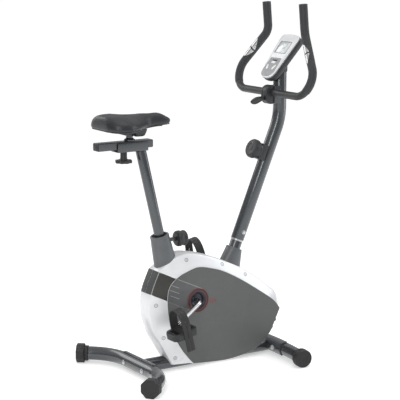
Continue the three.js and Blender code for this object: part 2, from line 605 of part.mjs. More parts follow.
/** A pedal block with a toothed tread, lying along Y on its spindle, and the strap that arches over it. */
function make_pedal(side_name, side) {
  const at = arm_end(side);
  const group = new THREE.Group();
  group.position.set(at.x, 0, at.z);
  group.rotation.y = -rad(pedal.tilt_deg);
  bike.add(group);
  const y0 = pedal.inner_y;
  const y1 = pedal.inner_y + pedal.width;
  const half = pedal.length / 2;
  const outline = new THREE.Shape();
  outline.moveTo(-half, y0 + 18);
  outline.lineTo(-half + 14, y0);
  outline.lineTo(half - 14, y0);
  outline.lineTo(half, y0 + 18);
  outline.lineTo(half, y1 - 18);
  outline.lineTo(half - 14, y1);
  outline.lineTo(-half + 14, y1);
  outline.lineTo(-half, y1 - 18);
  outline.closePath();
  const body = new THREE.ExtrudeGeometry(outline, { depth: pedal.thick, bevelEnabled: false })
    .translate(0, 0, -pedal.thick / 2);
  const window_x = [18, 32];
  const openings = [-1, 1].map(end => {
    const xs = window_x.map(x => end * x).sort((a, b) => a - b);
    return block(xs[0], xs[1], y0 + 16, y1 - 16, -pedal.thick, pedal.thick);
  });
  const bore = along_y(rod(pedal.spindle_d + 2 * slide_fit, y0 - 1, spindle_reach + 1.5, 16));
  const tread = cut(body, ...openings, bore);
  const flip = new THREE.Matrix4().makeScale(1, side, 1);
  piece(`${side_name}_pedal`, tread.clone().applyMatrix4(flip), black_plastic, group);

  // The strap: flat against both sides of the pedal, arched over the shoe, with a loose end below.
  const low = -pedal.thick / 2;
  const out = y1 + gap;
  const inn = y0 - gap;
  const t = strap.thick;
  const rise = side > 0 ? strap.left_rise : strap.right_rise;
  const band = new THREE.Shape();
  band.moveTo(out, -pedal.thick / 2 - strap.tail);
  band.lineTo(out + t, -pedal.thick / 2 - strap.tail);
  band.lineTo(out + t, 14);
  band.bezierCurveTo(out + t + strap.side_out, rise * 0.9, (out + inn) / 2 + 22, rise, (out + inn) / 2, rise);
  band.bezierCurveTo((out + inn) / 2 - 26, rise, inn - t, rise * 0.72, inn - t, 22);
  band.lineTo(inn - t, low);
  band.lineTo(inn, low);
  band.lineTo(inn, 22);
  band.bezierCurveTo(inn, rise * 0.7, (out + inn) / 2 - 24, rise - t, (out + inn) / 2, rise - t);
  band.bezierCurveTo((out + inn) / 2 + 20, rise - t, out + strap.side_out, rise * 0.86, out, 14);
  band.closePath();
  const loop = new THREE.ExtrudeGeometry(band, { depth: strap.width, bevelEnabled: false, curveSegments: 8 });
  // The section is drawn in Y-Z and pulled along X.
  const basis = new THREE.Matrix4().makeBasis(v(0, 1, 0), v(0, 0, 1), v(1, 0, 0));
  const arch = loop.applyMatrix4(basis).translate(-strap.width / 2, 0, 0);
  const spindle_hole = along_y(rod(pedal.spindle_d + 4 * slide_fit, 0, y0 + 1, 16));
  const fitted = cut(arch, spindle_hole);
  piece(`${side_name}_pedal_strap`, fitted.clone().applyMatrix4(flip), rubber, group);
}
make_pedal('right', -1);
make_pedal('left', 1);

// ---- Flywheel, belt and magnetic brake ----
const wheel_at = (geometry, y = 0) => geometry.translate(flywheel.x, y, flywheel.z);
const half_wheel = flywheel.width / 2;
const half_web = flywheel.web / 2;
const wheel_hub = flywheel.hub_d / 2;
const wheel_bore = flywheel.shaft_d / 2 + gap;
const wheel_rim = flywheel.r - 20;
const wheel_profile = [[wheel_bore, -half_wheel], [wheel_hub, -half_wheel], [wheel_hub, -half_web],
  [wheel_rim, -half_web], [wheel_rim, -half_wheel], [flywheel.r, -half_wheel], [flywheel.r, half_wheel],
  [wheel_rim, half_wheel], [wheel_rim, half_web], [wheel_hub, half_web], [wheel_hub, half_wheel],
  [wheel_bore, half_wheel], [wheel_bore, -half_wheel]];
piece('flywheel', wheel_at(along_y(turned(wheel_profile, 24))), cast_iron);

const shaft_end = pulley.y + pulley.width;
const shaft_profile = [[0, -fork.y - fork.thick - 6], [flywheel.shaft_d / 2, -fork.y - fork.thick - 6],
  [flywheel.shaft_d / 2, pulley.y], [small_pulley_r, pulley.y], [small_pulley_r, shaft_end], [0, shaft_end]];
piece('flywheel_shaft', wheel_at(along_y(turned(shaft_profile, 20))), zinc);

const fork_eye_bore = along_y(rod(flywheel.shaft_d + 2 * slide_fit, -60, 60))
  .translate(flywheel.x, 0, flywheel.z);
const ear = new THREE.Shape();
ear.moveTo(flywheel.x - fork.base_half, foot_z);
ear.lineTo(flywheel.x + fork.base_half, foot_z);
ear.lineTo(flywheel.x + fork.eye_d / 2, flywheel.z);
ear.absarc(flywheel.x, flywheel.z, fork.eye_d / 2, 0, Math.PI);
ear.closePath();
const fork_out = fork.y + fork.thick;
const fork_base = block(flywheel.x - fork.base_half, flywheel.x + fork.base_half, -fork_out, fork_out,
  foot_z, spine_top + gap + fork.thick);
const fork_ears = [plate(ear, -fork_out, -fork.y), plate(ear, fork.y, fork_out)];
piece('flywheel_fork', cut(join(...fork_ears, fork_base), spine_space, fork_eye_bore), gunmetal);

/** The belt: two arcs joined by the outer tangents of both pulleys. */
function belt_outline(grow) {
  const dx = flywheel.x - crank.x;
  const dz = flywheel.z - crank.z;
  const apart = Math.hypot(dx, dz);
  const base = Math.atan2(dz, dx);
  const swing = Math.acos((pulley.r - small_pulley_r) / apart);
  const shape = new THREE.Shape();
  shape.absarc(crank.x, crank.z, pulley.r + grow, base + swing, base - swing + 2 * Math.PI);
  shape.absarc(flywheel.x, flywheel.z, small_pulley_r + grow, base - swing, base + swing);
  shape.closePath();
  return shape;
}
const belt_ring = belt_outline(2 * gap + belt_thick);
belt_ring.holes.push(new THREE.Path(belt_outline(2 * gap).getPoints(12)));
piece('drive_belt', plate(belt_ring, pulley.y + 0.5, pulley.y + pulley.width - 0.5, 12), rubber);

const magnet_r = flywheel.r + magnet.gap;
const from_wheel = (radius, deg) =>
  [flywheel.x + radius * Math.cos(rad(deg)), flywheel.z + radius * Math.sin(rad(deg))];
const magnet_pivot = from_wheel(magnet_r + magnet.thick / 2, magnet.pivot_deg);
const shoe = new THREE.Shape();
shoe.absarc(flywheel.x, flywheel.z, magnet_r + magnet.thick, rad(magnet.start_deg), rad(magnet.pivot_deg));
shoe.absarc(flywheel.x, flywheel.z, magnet_r, rad(magnet.pivot_deg), rad(magnet.start_deg), true);
shoe.closePath();
const hook = new THREE.Shape();
const hook_out = magnet_r + magnet.thick + magnet.hook;
hook.absarc(flywheel.x, flywheel.z, hook_out, rad(magnet.hook_from_deg), rad(magnet.hook_to_deg));
hook.absarc(flywheel.x, flywheel.z, magnet_r + 1, rad(magnet.hook_to_deg), rad(magnet.hook_from_deg), true);
hook.closePath();
const shoe_body = join(plate(shoe, -10, 10, 12), plate(hook, -10, 10, 2),
  along_y(rod(magnet.eye_d, -10, 10)).translate(magnet_pivot[0], 0, magnet_pivot[1]));
const pivot_bore = along_y(rod(magnet.pin_d + 2 * slide_fit, -40, 40))
  .translate(magnet_pivot[0], 0, magnet_pivot[1]);
const wheel_space = along_y(rod(2 * magnet_r, -30, 30, 48)).translate(flywheel.x, 0, flywheel.z);
piece('magnet_arm', cut(shoe_body, pivot_bore, wheel_space), zinc);

const lug = new THREE.Shape();
const lug_root = mast_at(magnet_pivot[1]);
lug.moveTo(lug_root.x, magnet_pivot[1] - 22);
lug.lineTo(magnet_pivot[0], magnet_pivot[1] - magnet.eye_d / 2);
lug.absarc(magnet_pivot[0], magnet_pivot[1], magnet.eye_d / 2, -Math.PI / 2, Math.PI / 2);
lug.lineTo(lug_root.x, magnet_pivot[1] + 18);
lug.closePath();
const pivot_pin = along_y(rod(magnet.pin_d, -12, 12)).translate(magnet_pivot[0], 0, magnet_pivot[1]);
piece('magnet_pivot', join(cut(plate(lug, 11, 15), stub_skin), pivot_pin), gunmetal);

// ---- Seat post and its channel ----
const post_bar = ring(seat_post.d, seat_post.d - 2 * seat_post.wall, 0,
  seat_run(seat_post.bottom_z, seat_post.top_z + 20));
const channel_under = block(channel.rear_x - 50, channel.front_x + 50, -60, 60, channel.bottom_z - gap,
  channel.bottom_z + 90);
piece('seat_post', cut(up_seat(post_bar, seat_post.bottom_z), channel_under), gunmetal);

const channel_inside = block(channel.rear_x - 1, channel.front_x + 1, -channel.half_width + channel.wall,
  channel.half_width - channel.wall, channel.bottom_z + channel.wall, channel.bottom_z + 90);
const knob_hole = rod(saddle_knob.neck_d / 2, channel.bottom_z - 20, channel.bottom_z + 40, 16)
  .translate(saddle_knob.x, 0, 0);
const channel_bar = block(channel.rear_x, channel.front_x, -channel.half_width, channel.half_width,
  channel.bottom_z, channel.bottom_z + channel.height);
piece('slider_channel', cut(channel_bar, channel_inside, knob_hole), gunmetal);

// ---- Saddle, its bar and stem ----
const half_bar = bar.width / 2;
const bar_bottom = bar.z - bar.height / 2;
const bar_top = bar.z + bar.height / 2;
const inner_half = half_bar - bar.wall;
piece('slider_bar', cut(block(bar.rear_x, bar.front_x, -half_bar, half_bar, bar_bottom, bar_top),
  block(bar.rear_x - 9, bar.front_x + 9, -inner_half, inner_half, bar_bottom + bar.wall, bar_top - bar.wall)), gunmetal);
const stem_r = saddle_stem.d / 2;
const flange_top = bar_top + saddle_stem.flange_h;
const stem_profile = [[0, bar_top + gap], [saddle_stem.flange_d / 2, bar_top + gap],
  [saddle_stem.flange_d / 2, flange_top], [stem_r + 3, flange_top + 2], [stem_r, flange_top + 5],
  [stem_r, saddle_stem.top_z], [0, saddle_stem.top_z]];
piece('saddle_stem', turned(stem_profile).translate(saddle_stem.x, 0, 0), gunmetal);

/** Half width of the saddle at a share of its length from the rear. */
function saddle_half(share) {
  const tail = Math.sqrt(Math.max(0, 1 - ((share - 0.2) / 0.2) ** 2));
  const rear = saddle.half_width * (share < 0.2 ? 0.45 + 0.55 * tail : 1);
  const waist = THREE.MathUtils.smoothstep(share, 0.24, 0.72);
  const nose = THREE.MathUtils.lerp(saddle.half_width, 30, waist);
  const tip = share > 0.9 ? Math.sqrt(Math.max(0, 1 - ((share - 0.9) / 0.115) ** 2)) : 1;
  return (share < 0.24 ? rear : nose) * tip;
}

/** An outline of the saddle in plan, drawn in by a margin. */
function saddle_plan(margin, steps = 16) {
  const shape = new THREE.Shape();
  const length = saddle.nose_x - saddle.rear_x;
  const at = (k, side) => {
    const share = k / steps;
    return [saddle.rear_x + margin + share * (length - 2 * margin), side * Math.max(6, saddle_half(share) - margin)];
  };
  shape.moveTo(...at(0, -1));
  for (let k = 1; k <= steps; k++) shape.lineTo(...at(k, -1));
  for (let k = steps; k >= 0; k--) shape.lineTo(...at(k, 1));
  shape.closePath();
  return shape;
}
const cushion_h = saddle.top_z - saddle.bottom_z;
const cushion = new THREE.ExtrudeGeometry(saddle_plan(8), { depth: cushion_h - 16, bevelThickness: 8, bevelSize: 8,
  bevelSegments: 2 }).translate(0, 0, saddle.bottom_z + 8);
// The top of the nose slopes down towards its tip.
const nose_cut = block(-60, 60, -60, 60, 0, 90).rotateY(rad(saddle.nose_drop_deg))
  .translate(saddle.nose_x - 10, 0, saddle.top_z - 16);
piece('saddle_cushion', cut(cushion, nose_cut), vinyl);
const base_plate = new THREE.ExtrudeGeometry(saddle_plan(saddle_base.margin), {
  depth: saddle_base.thickness, bevelEnabled: false }).translate(0, 0, saddle.bottom_z - gap - saddle_base.thickness);
const under_cushion = saddle.bottom_z - gap - 1;
const keel = block(saddle_stem.x + saddle_base.keel_from, saddle_stem.x + saddle_base.keel_to, -saddle_base.half_width,
  saddle_base.half_width, saddle_base.bottom_z, under_cushion);
const collar = rod(saddle_base.collar_d, saddle_base.collar_z, under_cushion).translate(saddle_stem.x, 0, 0);
const stem_space = rod(saddle_stem.d + 2 * gap, bar_top, saddle_stem.top_z + gap).translate(saddle_stem.x, 0, 0);
piece('saddle_base', cut(join(base_plate, keel, collar), stem_space), black_plastic);

// ---- Clamp knob and pop pin ----
function lobed_disc(d, lobes, depth, h) {
  const shape = new THREE.Shape();
  const steps = lobes * 4;
  for (let k = 0; k < steps; k++) {
    const angle = 2 * Math.PI * k / steps;
    const r = d / 2 - depth * (0.5 - 0.5 * Math.cos(lobes * angle));
    if (k === 0) shape.moveTo(r, 0);
    else shape.lineTo(r * Math.cos(angle), r * Math.sin(angle));
  }
  shape.closePath();
  return new THREE.ExtrudeGeometry(shape, { depth: h, bevelEnabled: false });
}
const knob_top = saddle_knob.disc_bottom_z + saddle_knob.disc_h;
const knob_disc = lobed_disc(saddle_knob.disc_d, saddle_knob.lobes, 5, saddle_knob.disc_h)
  .translate(0, 0, saddle_knob.disc_bottom_z);
piece('saddle_knob', join(knob_disc, rod(saddle_knob.neck_d, knob_top - 1, channel.bottom_z - 1 - gap),
  rod(saddle_knob.neck_d / 2 - 2 * slide_fit, channel.bottom_z - 9, bar_bottom - 2 * slide_fit, 16))
  .translate(saddle_knob.x, 0, 0), black_plastic);

// The post leans while the pin lies level, so the pin stops where its upper edge would meet the post.
const pin_lean = rad(seat_axis.lean_deg);
const pin_start = seat_post.d / 2 / Math.cos(pin_lean) + pop_pin.d / 2 * Math.tan(pin_lean) + slide_fit;
const knob_end = pop_pin.knob_start + pop_pin.knob_length;
const knob_r = pop_pin.knob_d / 2;
const pin_knob = turned([[0, pop_pin.knob_start], [knob_r - 6, pop_pin.knob_start], [knob_r, pop_pin.knob_start + 6],
  [knob_r, knob_end - 8], [knob_r - 8, knob_end], [0, knob_end]], 20);
piece('pop_pin', along_pin(join(rod(pop_pin.d, pin_start, pop_pin.knob_start + 1, 16), pin_knob)), black_plastic);

// ---- Mast, tension control and cable ----
const mast_bend_z = mast.foot_z + (mast.top_x - mast.foot_x) / Math.tan(rad(mast.lean_deg));
const mast_corners = [mast_at(mast.bottom_z), v(mast.top_x, 0, mast_bend_z), v(mast.top_x, 0, mast.top_z)];
const mast_line = bent(mast_corners, [mast.bend], 5);
const tension_up = mast_at(mast.foot_z).addScaledVector(mast_up, tension.along);
const along_tension = geometry => leaning(geometry, tension_up, mast_back);
const cable_bore = along_tension(rod(cable_d + 5, 0, 60, 12));
piece('mast', cut(swept(mast_line, mast.d, mast.d - 2 * tube_wall, 16), cable_bore), gunmetal);

const mast_skin = up_mast(rod(mast.d + 2 * gap, -200, 900, 28), mast.foot_z);
// Local X runs down the mast, local Y across it and local Z out of it to the rear.
const box_block = block(-tension.box_l / 2, tension.box_l / 2, -tension.box_w / 2, tension.box_w / 2, 8,
  tension.box_out);
const box_body = join(box_block,
  rod(tension.base_d, tension.box_out - 1, tension.box_out + tension.base_h));
const box_bore = along_tension(rod(cable_d + 5, 0, tension.box_out - 12, 12));
piece('tension_box', cut(along_tension(box_body), mast_skin, box_bore), black_plastic);
const dial_back = tension.box_out + tension.base_h + tension.gap;
const dial_r = tension.knob_d / 2;
piece('tension_knob', along_tension(turned([[0, dial_back], [dial_r - 2, dial_back], [dial_r, dial_back + 2],
  [dial_r, tension.knob_face - 4], [dial_r - 4, tension.knob_face], [0, tension.knob_face]], 20)), black_plastic);

// The hook rises by about a millimetre when the arm lifts.
const hook_at = from_wheel(hook_out + cable_hook_clear, (magnet.hook_from_deg + magnet.hook_to_deg) / 2);
const exit_at = mast_at(cable_exit_z);
const cable_line = bent([tension_up.clone().addScaledVector(mast_back, tension.box_out - 14), tension_up.clone(), exit_at,
  exit_at.clone().addScaledVector(mast_back, -32), v(hook_at[0], 0, hook_at[1])], [9, 14, 4], 20);
piece('tension_cable', swept(cable_line, cable_d, 0, 8), rubber);

// ---- Handlebar, grips and pulse sensors ----
const rake = rad(handlebar.rake_deg);
const loop_plane = (y, height) => v(handlebar.x + height * Math.sin(rake), y, handlebar.z + height * Math.cos(rake));
const arm_in = rad(handlebar.arm_in_deg);
const corner_y = handlebar.straight + handlebar.loop_bend * Math.tan((Math.PI / 2 + arm_in) / 2);
const elbow_rise = (corner_y - grip_top.y) / Math.tan(arm_in);
const half_bar_points = [loop_plane(corner_y, 0), loop_plane(grip_top.y, elbow_rise),
  v(grip_top.x, grip_top.y, grip_top.z)];
const bar_points = [...half_bar_points.map(q => v(q.x, -q.y, q.z)).reverse(), ...half_bar_points];
const bar_line = bent(bar_points, [grip_top.bend, handlebar.loop_bend, handlebar.loop_bend, grip_top.bend], 22);
const bar_length = length_of(bar_line);
const bar_sides = 12;
piece('handlebar_tube', swept(bar_line, handlebar.d, handlebar.d - 2 * handlebar.wall, bar_sides), black_plastic);

const sensor_to = sensor.from_top + sensor.length;
for (const [side_name, at] of [['right', (a, b) => stretch(bar_line, a, b)],
  ['left', (a, b) => stretch(bar_line, bar_length - b, bar_length - a)]]) {
  const bore = handlebar.d + 2 * grip.sleeve_gap;
  piece(`${side_name}_grip`, swept(at(0.01, sensor.from_top - gap), grip.d, bore, bar_sides), foam);
  piece(`${side_name}_pulse_sensor`, swept(at(sensor.from_top, sensor_to), sensor.d, bore, bar_sides), chrome);
}

// ---- Handlebar clamp ----
const bar_space = d => rod(d, -200, 200, 28).rotateX(Math.PI / 2).translate(handlebar.x, 0, handlebar.z);
const mast_top_skin = rod(mast.d + 2 * gap, mast.top_z - 240, mast.top_z + 100, 28)
  .translate(mast.top_x, 0, 0);
const bracket_mid = handlebar.z - bar_bracket.drop;
const cradle_half = bar_bracket.half_width + bar_bracket.wall;
const cradle = block(handlebar.x + clamp.split, mast.top_x + 4, -cradle_half, cradle_half,
  bracket_mid - bar_bracket.height / 2, bracket_mid + bar_bracket.height / 2);
const cradle_space = handlebar.d + 2 * gap;
const behind_mast = block(mast.top_x, mast.top_x + 90, -90, 90, bracket_mid - bar_bracket.height,
  bracket_mid + bar_bracket.height);
piece('handlebar_bracket', cut(cradle, bar_space(cradle_space), mast_top_skin, behind_mast), gunmetal);

const clamp_outline = new THREE.Shape();
const clamp_front = handlebar.x + clamp.split - gap;
clamp_outline.moveTo(clamp_front, handlebar.z + clamp.outer_d / 2);
clamp_outline.lineTo(handlebar.x, handlebar.z + clamp.outer_d / 2);
clamp_outline.absarc(handlebar.x, handlebar.z, clamp.outer_d / 2, Math.PI / 2, Math.PI);
clamp_outline.lineTo(handlebar.x - clamp.outer_d / 2, handlebar.z - clamp.drop + 14);
clamp_outline.lineTo(handlebar.x - clamp.outer_d / 2 + 14, handlebar.z - clamp.drop);
clamp_outline.lineTo(clamp_front, handlebar.z - clamp.drop);
clamp_outline.closePath();
const lever_out = v(-Math.cos(rad(lever.tilt_deg)), 0, -Math.sin(rad(lever.tilt_deg)));
const lever_at = v(handlebar.x - lever.back, 0, handlebar.z - lever.below);
const along_lever = geometry => leaning(geometry, lever_at, lever_out);
const lever_room = along_lever(rod(lever.width + 6, 0, lever.length, 16));
const screw_hole = along_lever(rod(lever.screw_d + 2 * slide_fit, -lever.screw_in - 1, 1, 12));
const clamp_block = plate(clamp_outline, -clamp.width / 2, clamp.width / 2);
piece('handlebar_clamp', cut(clamp_block, bar_space(cradle_space), screw_hole, lever_room), black_plastic);

/** The clamp screw and its oval wing, drawn along +Z from the face of the clamp. */
function lever_body() {
  const wing = new THREE.Shape();
  const n = lever.length - 10;
  wing.moveTo(-8, 8);
  wing.bezierCurveTo(-10, n * 0.35, -lever.width / 2, n * 0.5, -lever.width / 2, n * 0.7);
  wing.bezierCurveTo(-lever.width / 2, n * 0.92, -6, n + 10, 0, n + 10);
  wing.bezierCurveTo(6, n + 10, lever.width / 2, n * 0.92, lever.width / 2, n * 0.7);
  wing.bezierCurveTo(lever.width / 2, n * 0.5, 10, n * 0.35, 8, 8);
  wing.closePath();
  const edge = 3;
  const flat = lever.thick - 2 * edge;
  const paddle = new THREE.ExtrudeGeometry(wing, {
    depth: flat, bevelThickness: edge, bevelSize: edge, bevelSegments: 1, curveSegments: 5 })
    .rotateX(Math.PI / 2).translate(0, flat / 2, 0).rotateZ(Math.PI / 2);
  return join(paddle, rod(lever.neck_d, gap, 16, 16), rod(lever.screw_d, -lever.screw_in, 2, 12));
}
piece('clamp_lever', along_lever(lever_body()), black_plastic);

// ---- Console ----
const console_group = new THREE.Group();
console_group.position.set(console_unit.face_x, 0, console_unit.face_z);
console_group.rotation.y = -rad(console_unit.tilt_deg);
bike.add(console_group);

/** Outline of the console seen square on: local X runs up its face. */
function console_outline(margin) {
  const half = console_unit.length / 2 - margin;
  const top = console_unit.top_width / 2 - margin;
  const bottom = console_unit.bottom_width / 2 - margin;
  const shape = new THREE.Shape();
  shape.moveTo(half, -top + 22);
  shape.bezierCurveTo(half + 3, 0, half + 3, 0, half, top - 22);
  shape.quadraticCurveTo(half, top, half - 22, top);
  shape.lineTo(-half + 34, bottom);
  shape.bezierCurveTo(-half + 8, bottom - 2, -half - 1, bottom * 0.6, -half, 0);
  shape.bezierCurveTo(-half - 1, -bottom * 0.6, -half + 8, -bottom + 2, -half + 34, -bottom);
  shape.lineTo(half - 22, -top);
  shape.quadraticCurveTo(half, -top, half, -top + 22);
  return shape;
}
const to_console = new THREE.Matrix4().makeRotationY(rad(console_unit.tilt_deg))
  .multiply(new THREE.Matrix4().makeTranslation(-console_unit.face_x, 0, -console_unit.face_z));
const on_mast_top = geometry => geometry.translate(mast.top_x, 0, 0).applyMatrix4(to_console);
const mast_in_console = on_mast_top(rod(mast.d + 2 * gap, 700, mast.top_z + gap, 28));
const boss = on_mast_top(rod(console_depth.boss_d, mast.top_z - console_depth.boss_h, mast.top_z + 40, 24));
const shell_bevel = console_depth.bevel;
const back_of_face = -console_depth.face - gap;
const back_shell = new THREE.ExtrudeGeometry(console_outline(shell_bevel), {
  depth: console_depth.body - shell_bevel, bevelThickness: shell_bevel, bevelSize: shell_bevel, bevelSegments: 2,
  curveSegments: 4 }).translate(0, 0, back_of_face - console_depth.body + shell_bevel);
const above_face = block(-200, 200, -200, 200, back_of_face, 200);
piece('console_housing', cut(join(back_shell, boss), above_face, mast_in_console), black_plastic, console_group);

const button_places = [
  { x: -30, y: 0, long: 24, wide: 11, turn: 0 },
  { x: -52, y: 20, long: 24, wide: 10, turn: -62 },
  { x: -52, y: -20, long: 24, wide: 10, turn: 62 }];
function button_body(place, grow) {
  const shape = new THREE.Shape();
  const half = (place.long - place.wide) / 2;
  const r = place.wide / 2 + grow;
  shape.absarc(0, half, r, 0, Math.PI);
  shape.absarc(0, -half, r, Math.PI, 2 * Math.PI);
  shape.closePath();
  return new THREE.ExtrudeGeometry(shape, { depth: button.height + 2 * grow, bevelEnabled: false, curveSegments: 5 })
    .rotateZ(rad(place.turn)).translate(place.x, place.y, button.proud - button.height - grow);
}
const face_body = new THREE.ExtrudeGeometry(console_outline(0), {
  depth: console_depth.face, bevelEnabled: false, curveSegments: 4 }).translate(0, 0, -console_depth.face);
const half_screen = screen_window.length / 2;
const window_cut = block(screen_window.x - half_screen, screen_window.x + half_screen,
  -screen_window.width / 2, screen_window.width / 2, -screen_window.depth, 5);
// Each well runs through the whole face plate.
const wells = button_places.map(place => button_body(place, button.fit).scale(1, 1, 4));
piece('console_face', cut(face_body, window_cut, ...wells), silver_face, console_group);
button_places.forEach((place, i) =>
  piece(`console_button_${i + 1}`, button_body(place, 0), silver_face, console_group));

export default bike;
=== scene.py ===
# %% [markdown]
# # An upright exercise bike, dressed round its frame
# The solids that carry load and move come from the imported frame. This lesson puts a fine surface on them:
# painted tubes, moulded covers, a padded saddle, chromed cranks, foam grips and a small console.
# Every piece is built where the frame says, in metres, and rides on the body that carries it.

# %% Load the frame
import bmesh
import bpy
import json
from math import atan2, cos, degrees, pi, radians, sin, sqrt, tan
from mathutils import Matrix, Vector


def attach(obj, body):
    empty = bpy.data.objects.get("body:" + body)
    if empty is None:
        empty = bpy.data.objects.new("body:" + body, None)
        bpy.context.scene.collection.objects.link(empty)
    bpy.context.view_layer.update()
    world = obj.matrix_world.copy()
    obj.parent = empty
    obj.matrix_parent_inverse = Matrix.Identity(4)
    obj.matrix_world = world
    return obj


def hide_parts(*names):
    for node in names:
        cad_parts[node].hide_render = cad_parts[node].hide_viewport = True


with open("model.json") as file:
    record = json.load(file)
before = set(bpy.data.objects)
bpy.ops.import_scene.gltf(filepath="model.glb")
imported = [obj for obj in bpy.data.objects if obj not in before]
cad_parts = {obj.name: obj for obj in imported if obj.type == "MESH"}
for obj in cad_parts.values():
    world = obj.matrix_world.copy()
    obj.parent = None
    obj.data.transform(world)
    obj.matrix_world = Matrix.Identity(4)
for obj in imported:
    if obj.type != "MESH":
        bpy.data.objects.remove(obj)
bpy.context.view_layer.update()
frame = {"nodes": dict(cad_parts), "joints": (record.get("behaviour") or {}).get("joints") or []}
scene = bpy.context.scene
joints = {joint["name"]: joint for joint in frame["joints"]}


def joint_axis(name):
    """The direction a hinge turns about."""
    return Vector(joints[name]["axis"]).normalized()


# %% [markdown]
# ## The camera
# A long lens far away keeps the tubes nearly parallel, as a catalogue shot does. It could be aimed by
# hand, but an azimuth, an elevation and a distance from one target say the same in numbers to be read.

# %% Camera
CAMERA_AZIMUTH = radians(-32.47)
CAMERA_ELEVATION = radians(10.46)
CAMERA_DISTANCE = 5.382
CAMERA_TARGET = Vector((0.0026, 0.0, 0.6198))

camera_data = bpy.data.cameras.new("camera")
camera_data.lens = 132.4
camera_data.sensor_width = 36.0
camera = bpy.data.objects.new("camera", camera_data)
sight = Vector((sin(CAMERA_AZIMUTH) * cos(CAMERA_ELEVATION), -cos(CAMERA_AZIMUTH) * cos(CAMERA_ELEVATION),
                sin(CAMERA_ELEVATION)))
camera.location = CAMERA_TARGET + sight * CAMERA_DISTANCE
camera.rotation_euler = (-sight).to_track_quat("-Z", "Y").to_euler()
scene.collection.objects.link(camera)
scene.camera = camera

# %% [markdown]
# ## The studio
# Glossy paint shows what surrounds it, so the light is part of the finish. One large soft panel overhead
# would light everything but leave the tubes flat. Tall panels on both sides draw a bright stripe along
# each tube, and a sky that is darker near the horizon keeps the edges of dark paint readable.


# %% Lights and floor
def soft_panel(name, place, aim, width, height, power, tint):
    light = bpy.data.lights.new(name, "AREA")
    light.shape = "RECTANGLE"
    light.size = width
    light.size_y = height
    light.energy = power
    light.color = tint
    lamp = bpy.data.objects.new(name, light)
    lamp.location = place
    lamp.rotation_euler = (Vector(aim) - Vector(place)).to_track_quat("-Z", "Y").to_euler()
    scene.collection.objects.link(lamp)


soft_panel("key_panel", (-2.6, -2.4, 2.3), (0.0, 0.0, 0.6), 0.6, 2.6, 40, (1.0, 0.99, 0.97))
soft_panel("side_panel", (2.7, -1.2, 1.6), (0.0, 0.0, 0.7), 0.9, 2.6, 22, (0.90, 0.95, 1.0))
soft_panel("top_panel", (0.2, -0.4, 3.4), (0.0, 0.0, 0.4), 2.2, 2.2, 16, (1.0, 1.0, 1.0))
soft_panel("back_panel", (-1.0, 2.8, 2.2), (0.0, 0.0, 0.7), 1.6, 2.0, 22, (1.0, 1.0, 1.0))

world = bpy.data.worlds.new("studio")
scene.world = world
world.use_nodes = True
sky = world.node_tree
sky_place = sky.nodes.new("ShaderNodeTexCoord")
sky_split = sky.nodes.new("ShaderNodeSeparateXYZ")
sky_ramp = sky.nodes.new("ShaderNodeValToRGB")
sky_ramp.color_ramp.elements[0].position = 0.02
sky_ramp.color_ramp.elements[0].color = (0.30, 0.31, 0.33, 1.0)
sky_ramp.color_ramp.elements[1].position = 0.62
sky_ramp.color_ramp.elements[1].color = (1.0, 1.0, 1.0, 1.0)
sky.links.new(sky_place.outputs["Generated"], sky_split.inputs[0])
sky.links.new(sky_split.outputs["Z"], sky_ramp.inputs["Fac"])
sky.links.new(sky_ramp.outputs["Color"], sky.nodes["Background"].inputs["Color"])
sky.nodes["Background"].inputs["Strength"].default_value = 0.72
scene.view_settings.view_transform = "Standard"
scene.view_settings.look = "None"

FLOOR_HALF = 80.0
floor_mesh = bpy.data.meshes.new("floor")
floor_corners = [(FLOOR_HALF * x, FLOOR_HALF * y, 0) for x, y in ((-1, -1), (1, -1), (1, 1), (-1, 1))]
floor_mesh.from_pydata(floor_corners, [], [(0, 1, 2, 3)])
floor = bpy.data.objects.new("floor", floor_mesh)
scene.collection.objects.link(floor)
floor_paint = bpy.data.materials.new("floor_paint")
floor_paint.use_nodes = True
floor_shader = floor_paint.node_tree.nodes["Principled BSDF"]
floor_shader.inputs["Base Color"].default_value = (0.93, 0.93, 0.93, 1.0)
floor_shader.inputs["Roughness"].default_value = 0.75
floor_shader.inputs["Emission Color"].default_value = (1.0, 1.0, 1.0, 1.0)
floor_shader.inputs["Emission Strength"].default_value = 0.42
floor_mesh.materials.append(floor_paint)
print("camera, four panels, sky and floor are set")

# %% [markdown]
# ## Shader effects that several finishes share
# Real mouldings and paint are never one even colour. Four effects do most of the work, and each is a node
# group with named sockets: mottle (slow drift of tone), grain (fine pebbling of a mould), dust (a pale film
# on what faces up) and rubbed edges (brighter where hands and shoes wear a corner).


# %% Node helpers
def new_group(name, sockets_in, sockets_out):
    """An empty shader node group with float or colour sockets."""
    tree = bpy.data.node_groups.new(name, "ShaderNodeTree")
    for label, value in sockets_in.items():
        socket = tree.interface.new_socket(label, in_out="INPUT", socket_type="NodeSocketFloat")
        socket.default_value = value
    for label, kind in sockets_out.items():
        tree.interface.new_socket(label, in_out="OUTPUT", socket_type=kind)
    return tree, tree.nodes.new("NodeGroupInput"), tree.nodes.new("NodeGroupOutput")


def add(tree, kind, values=None, **settings):
    """A node with its settings and the values of its sockets; a value that is a socket is wired."""
    made = tree.nodes.new(kind)
    for key, value in settings.items():
        setattr(made, key, value)
    for key, value in (values or {}).items():
        if isinstance(value, bpy.types.NodeSocket):
            tree.links.new(value, made.inputs[key])
        else:
            made.inputs[key].default_value = value
    return made


def noise(tree, scale, detail, **values):
    """Noise over the object's own space."""
    values |= {"Vector": add(tree, "ShaderNodeTexCoord").outputs["Object"], "Scale": scale, "Detail": detail}
    return add(tree, "ShaderNodeTexNoise", values).outputs["Fac"]


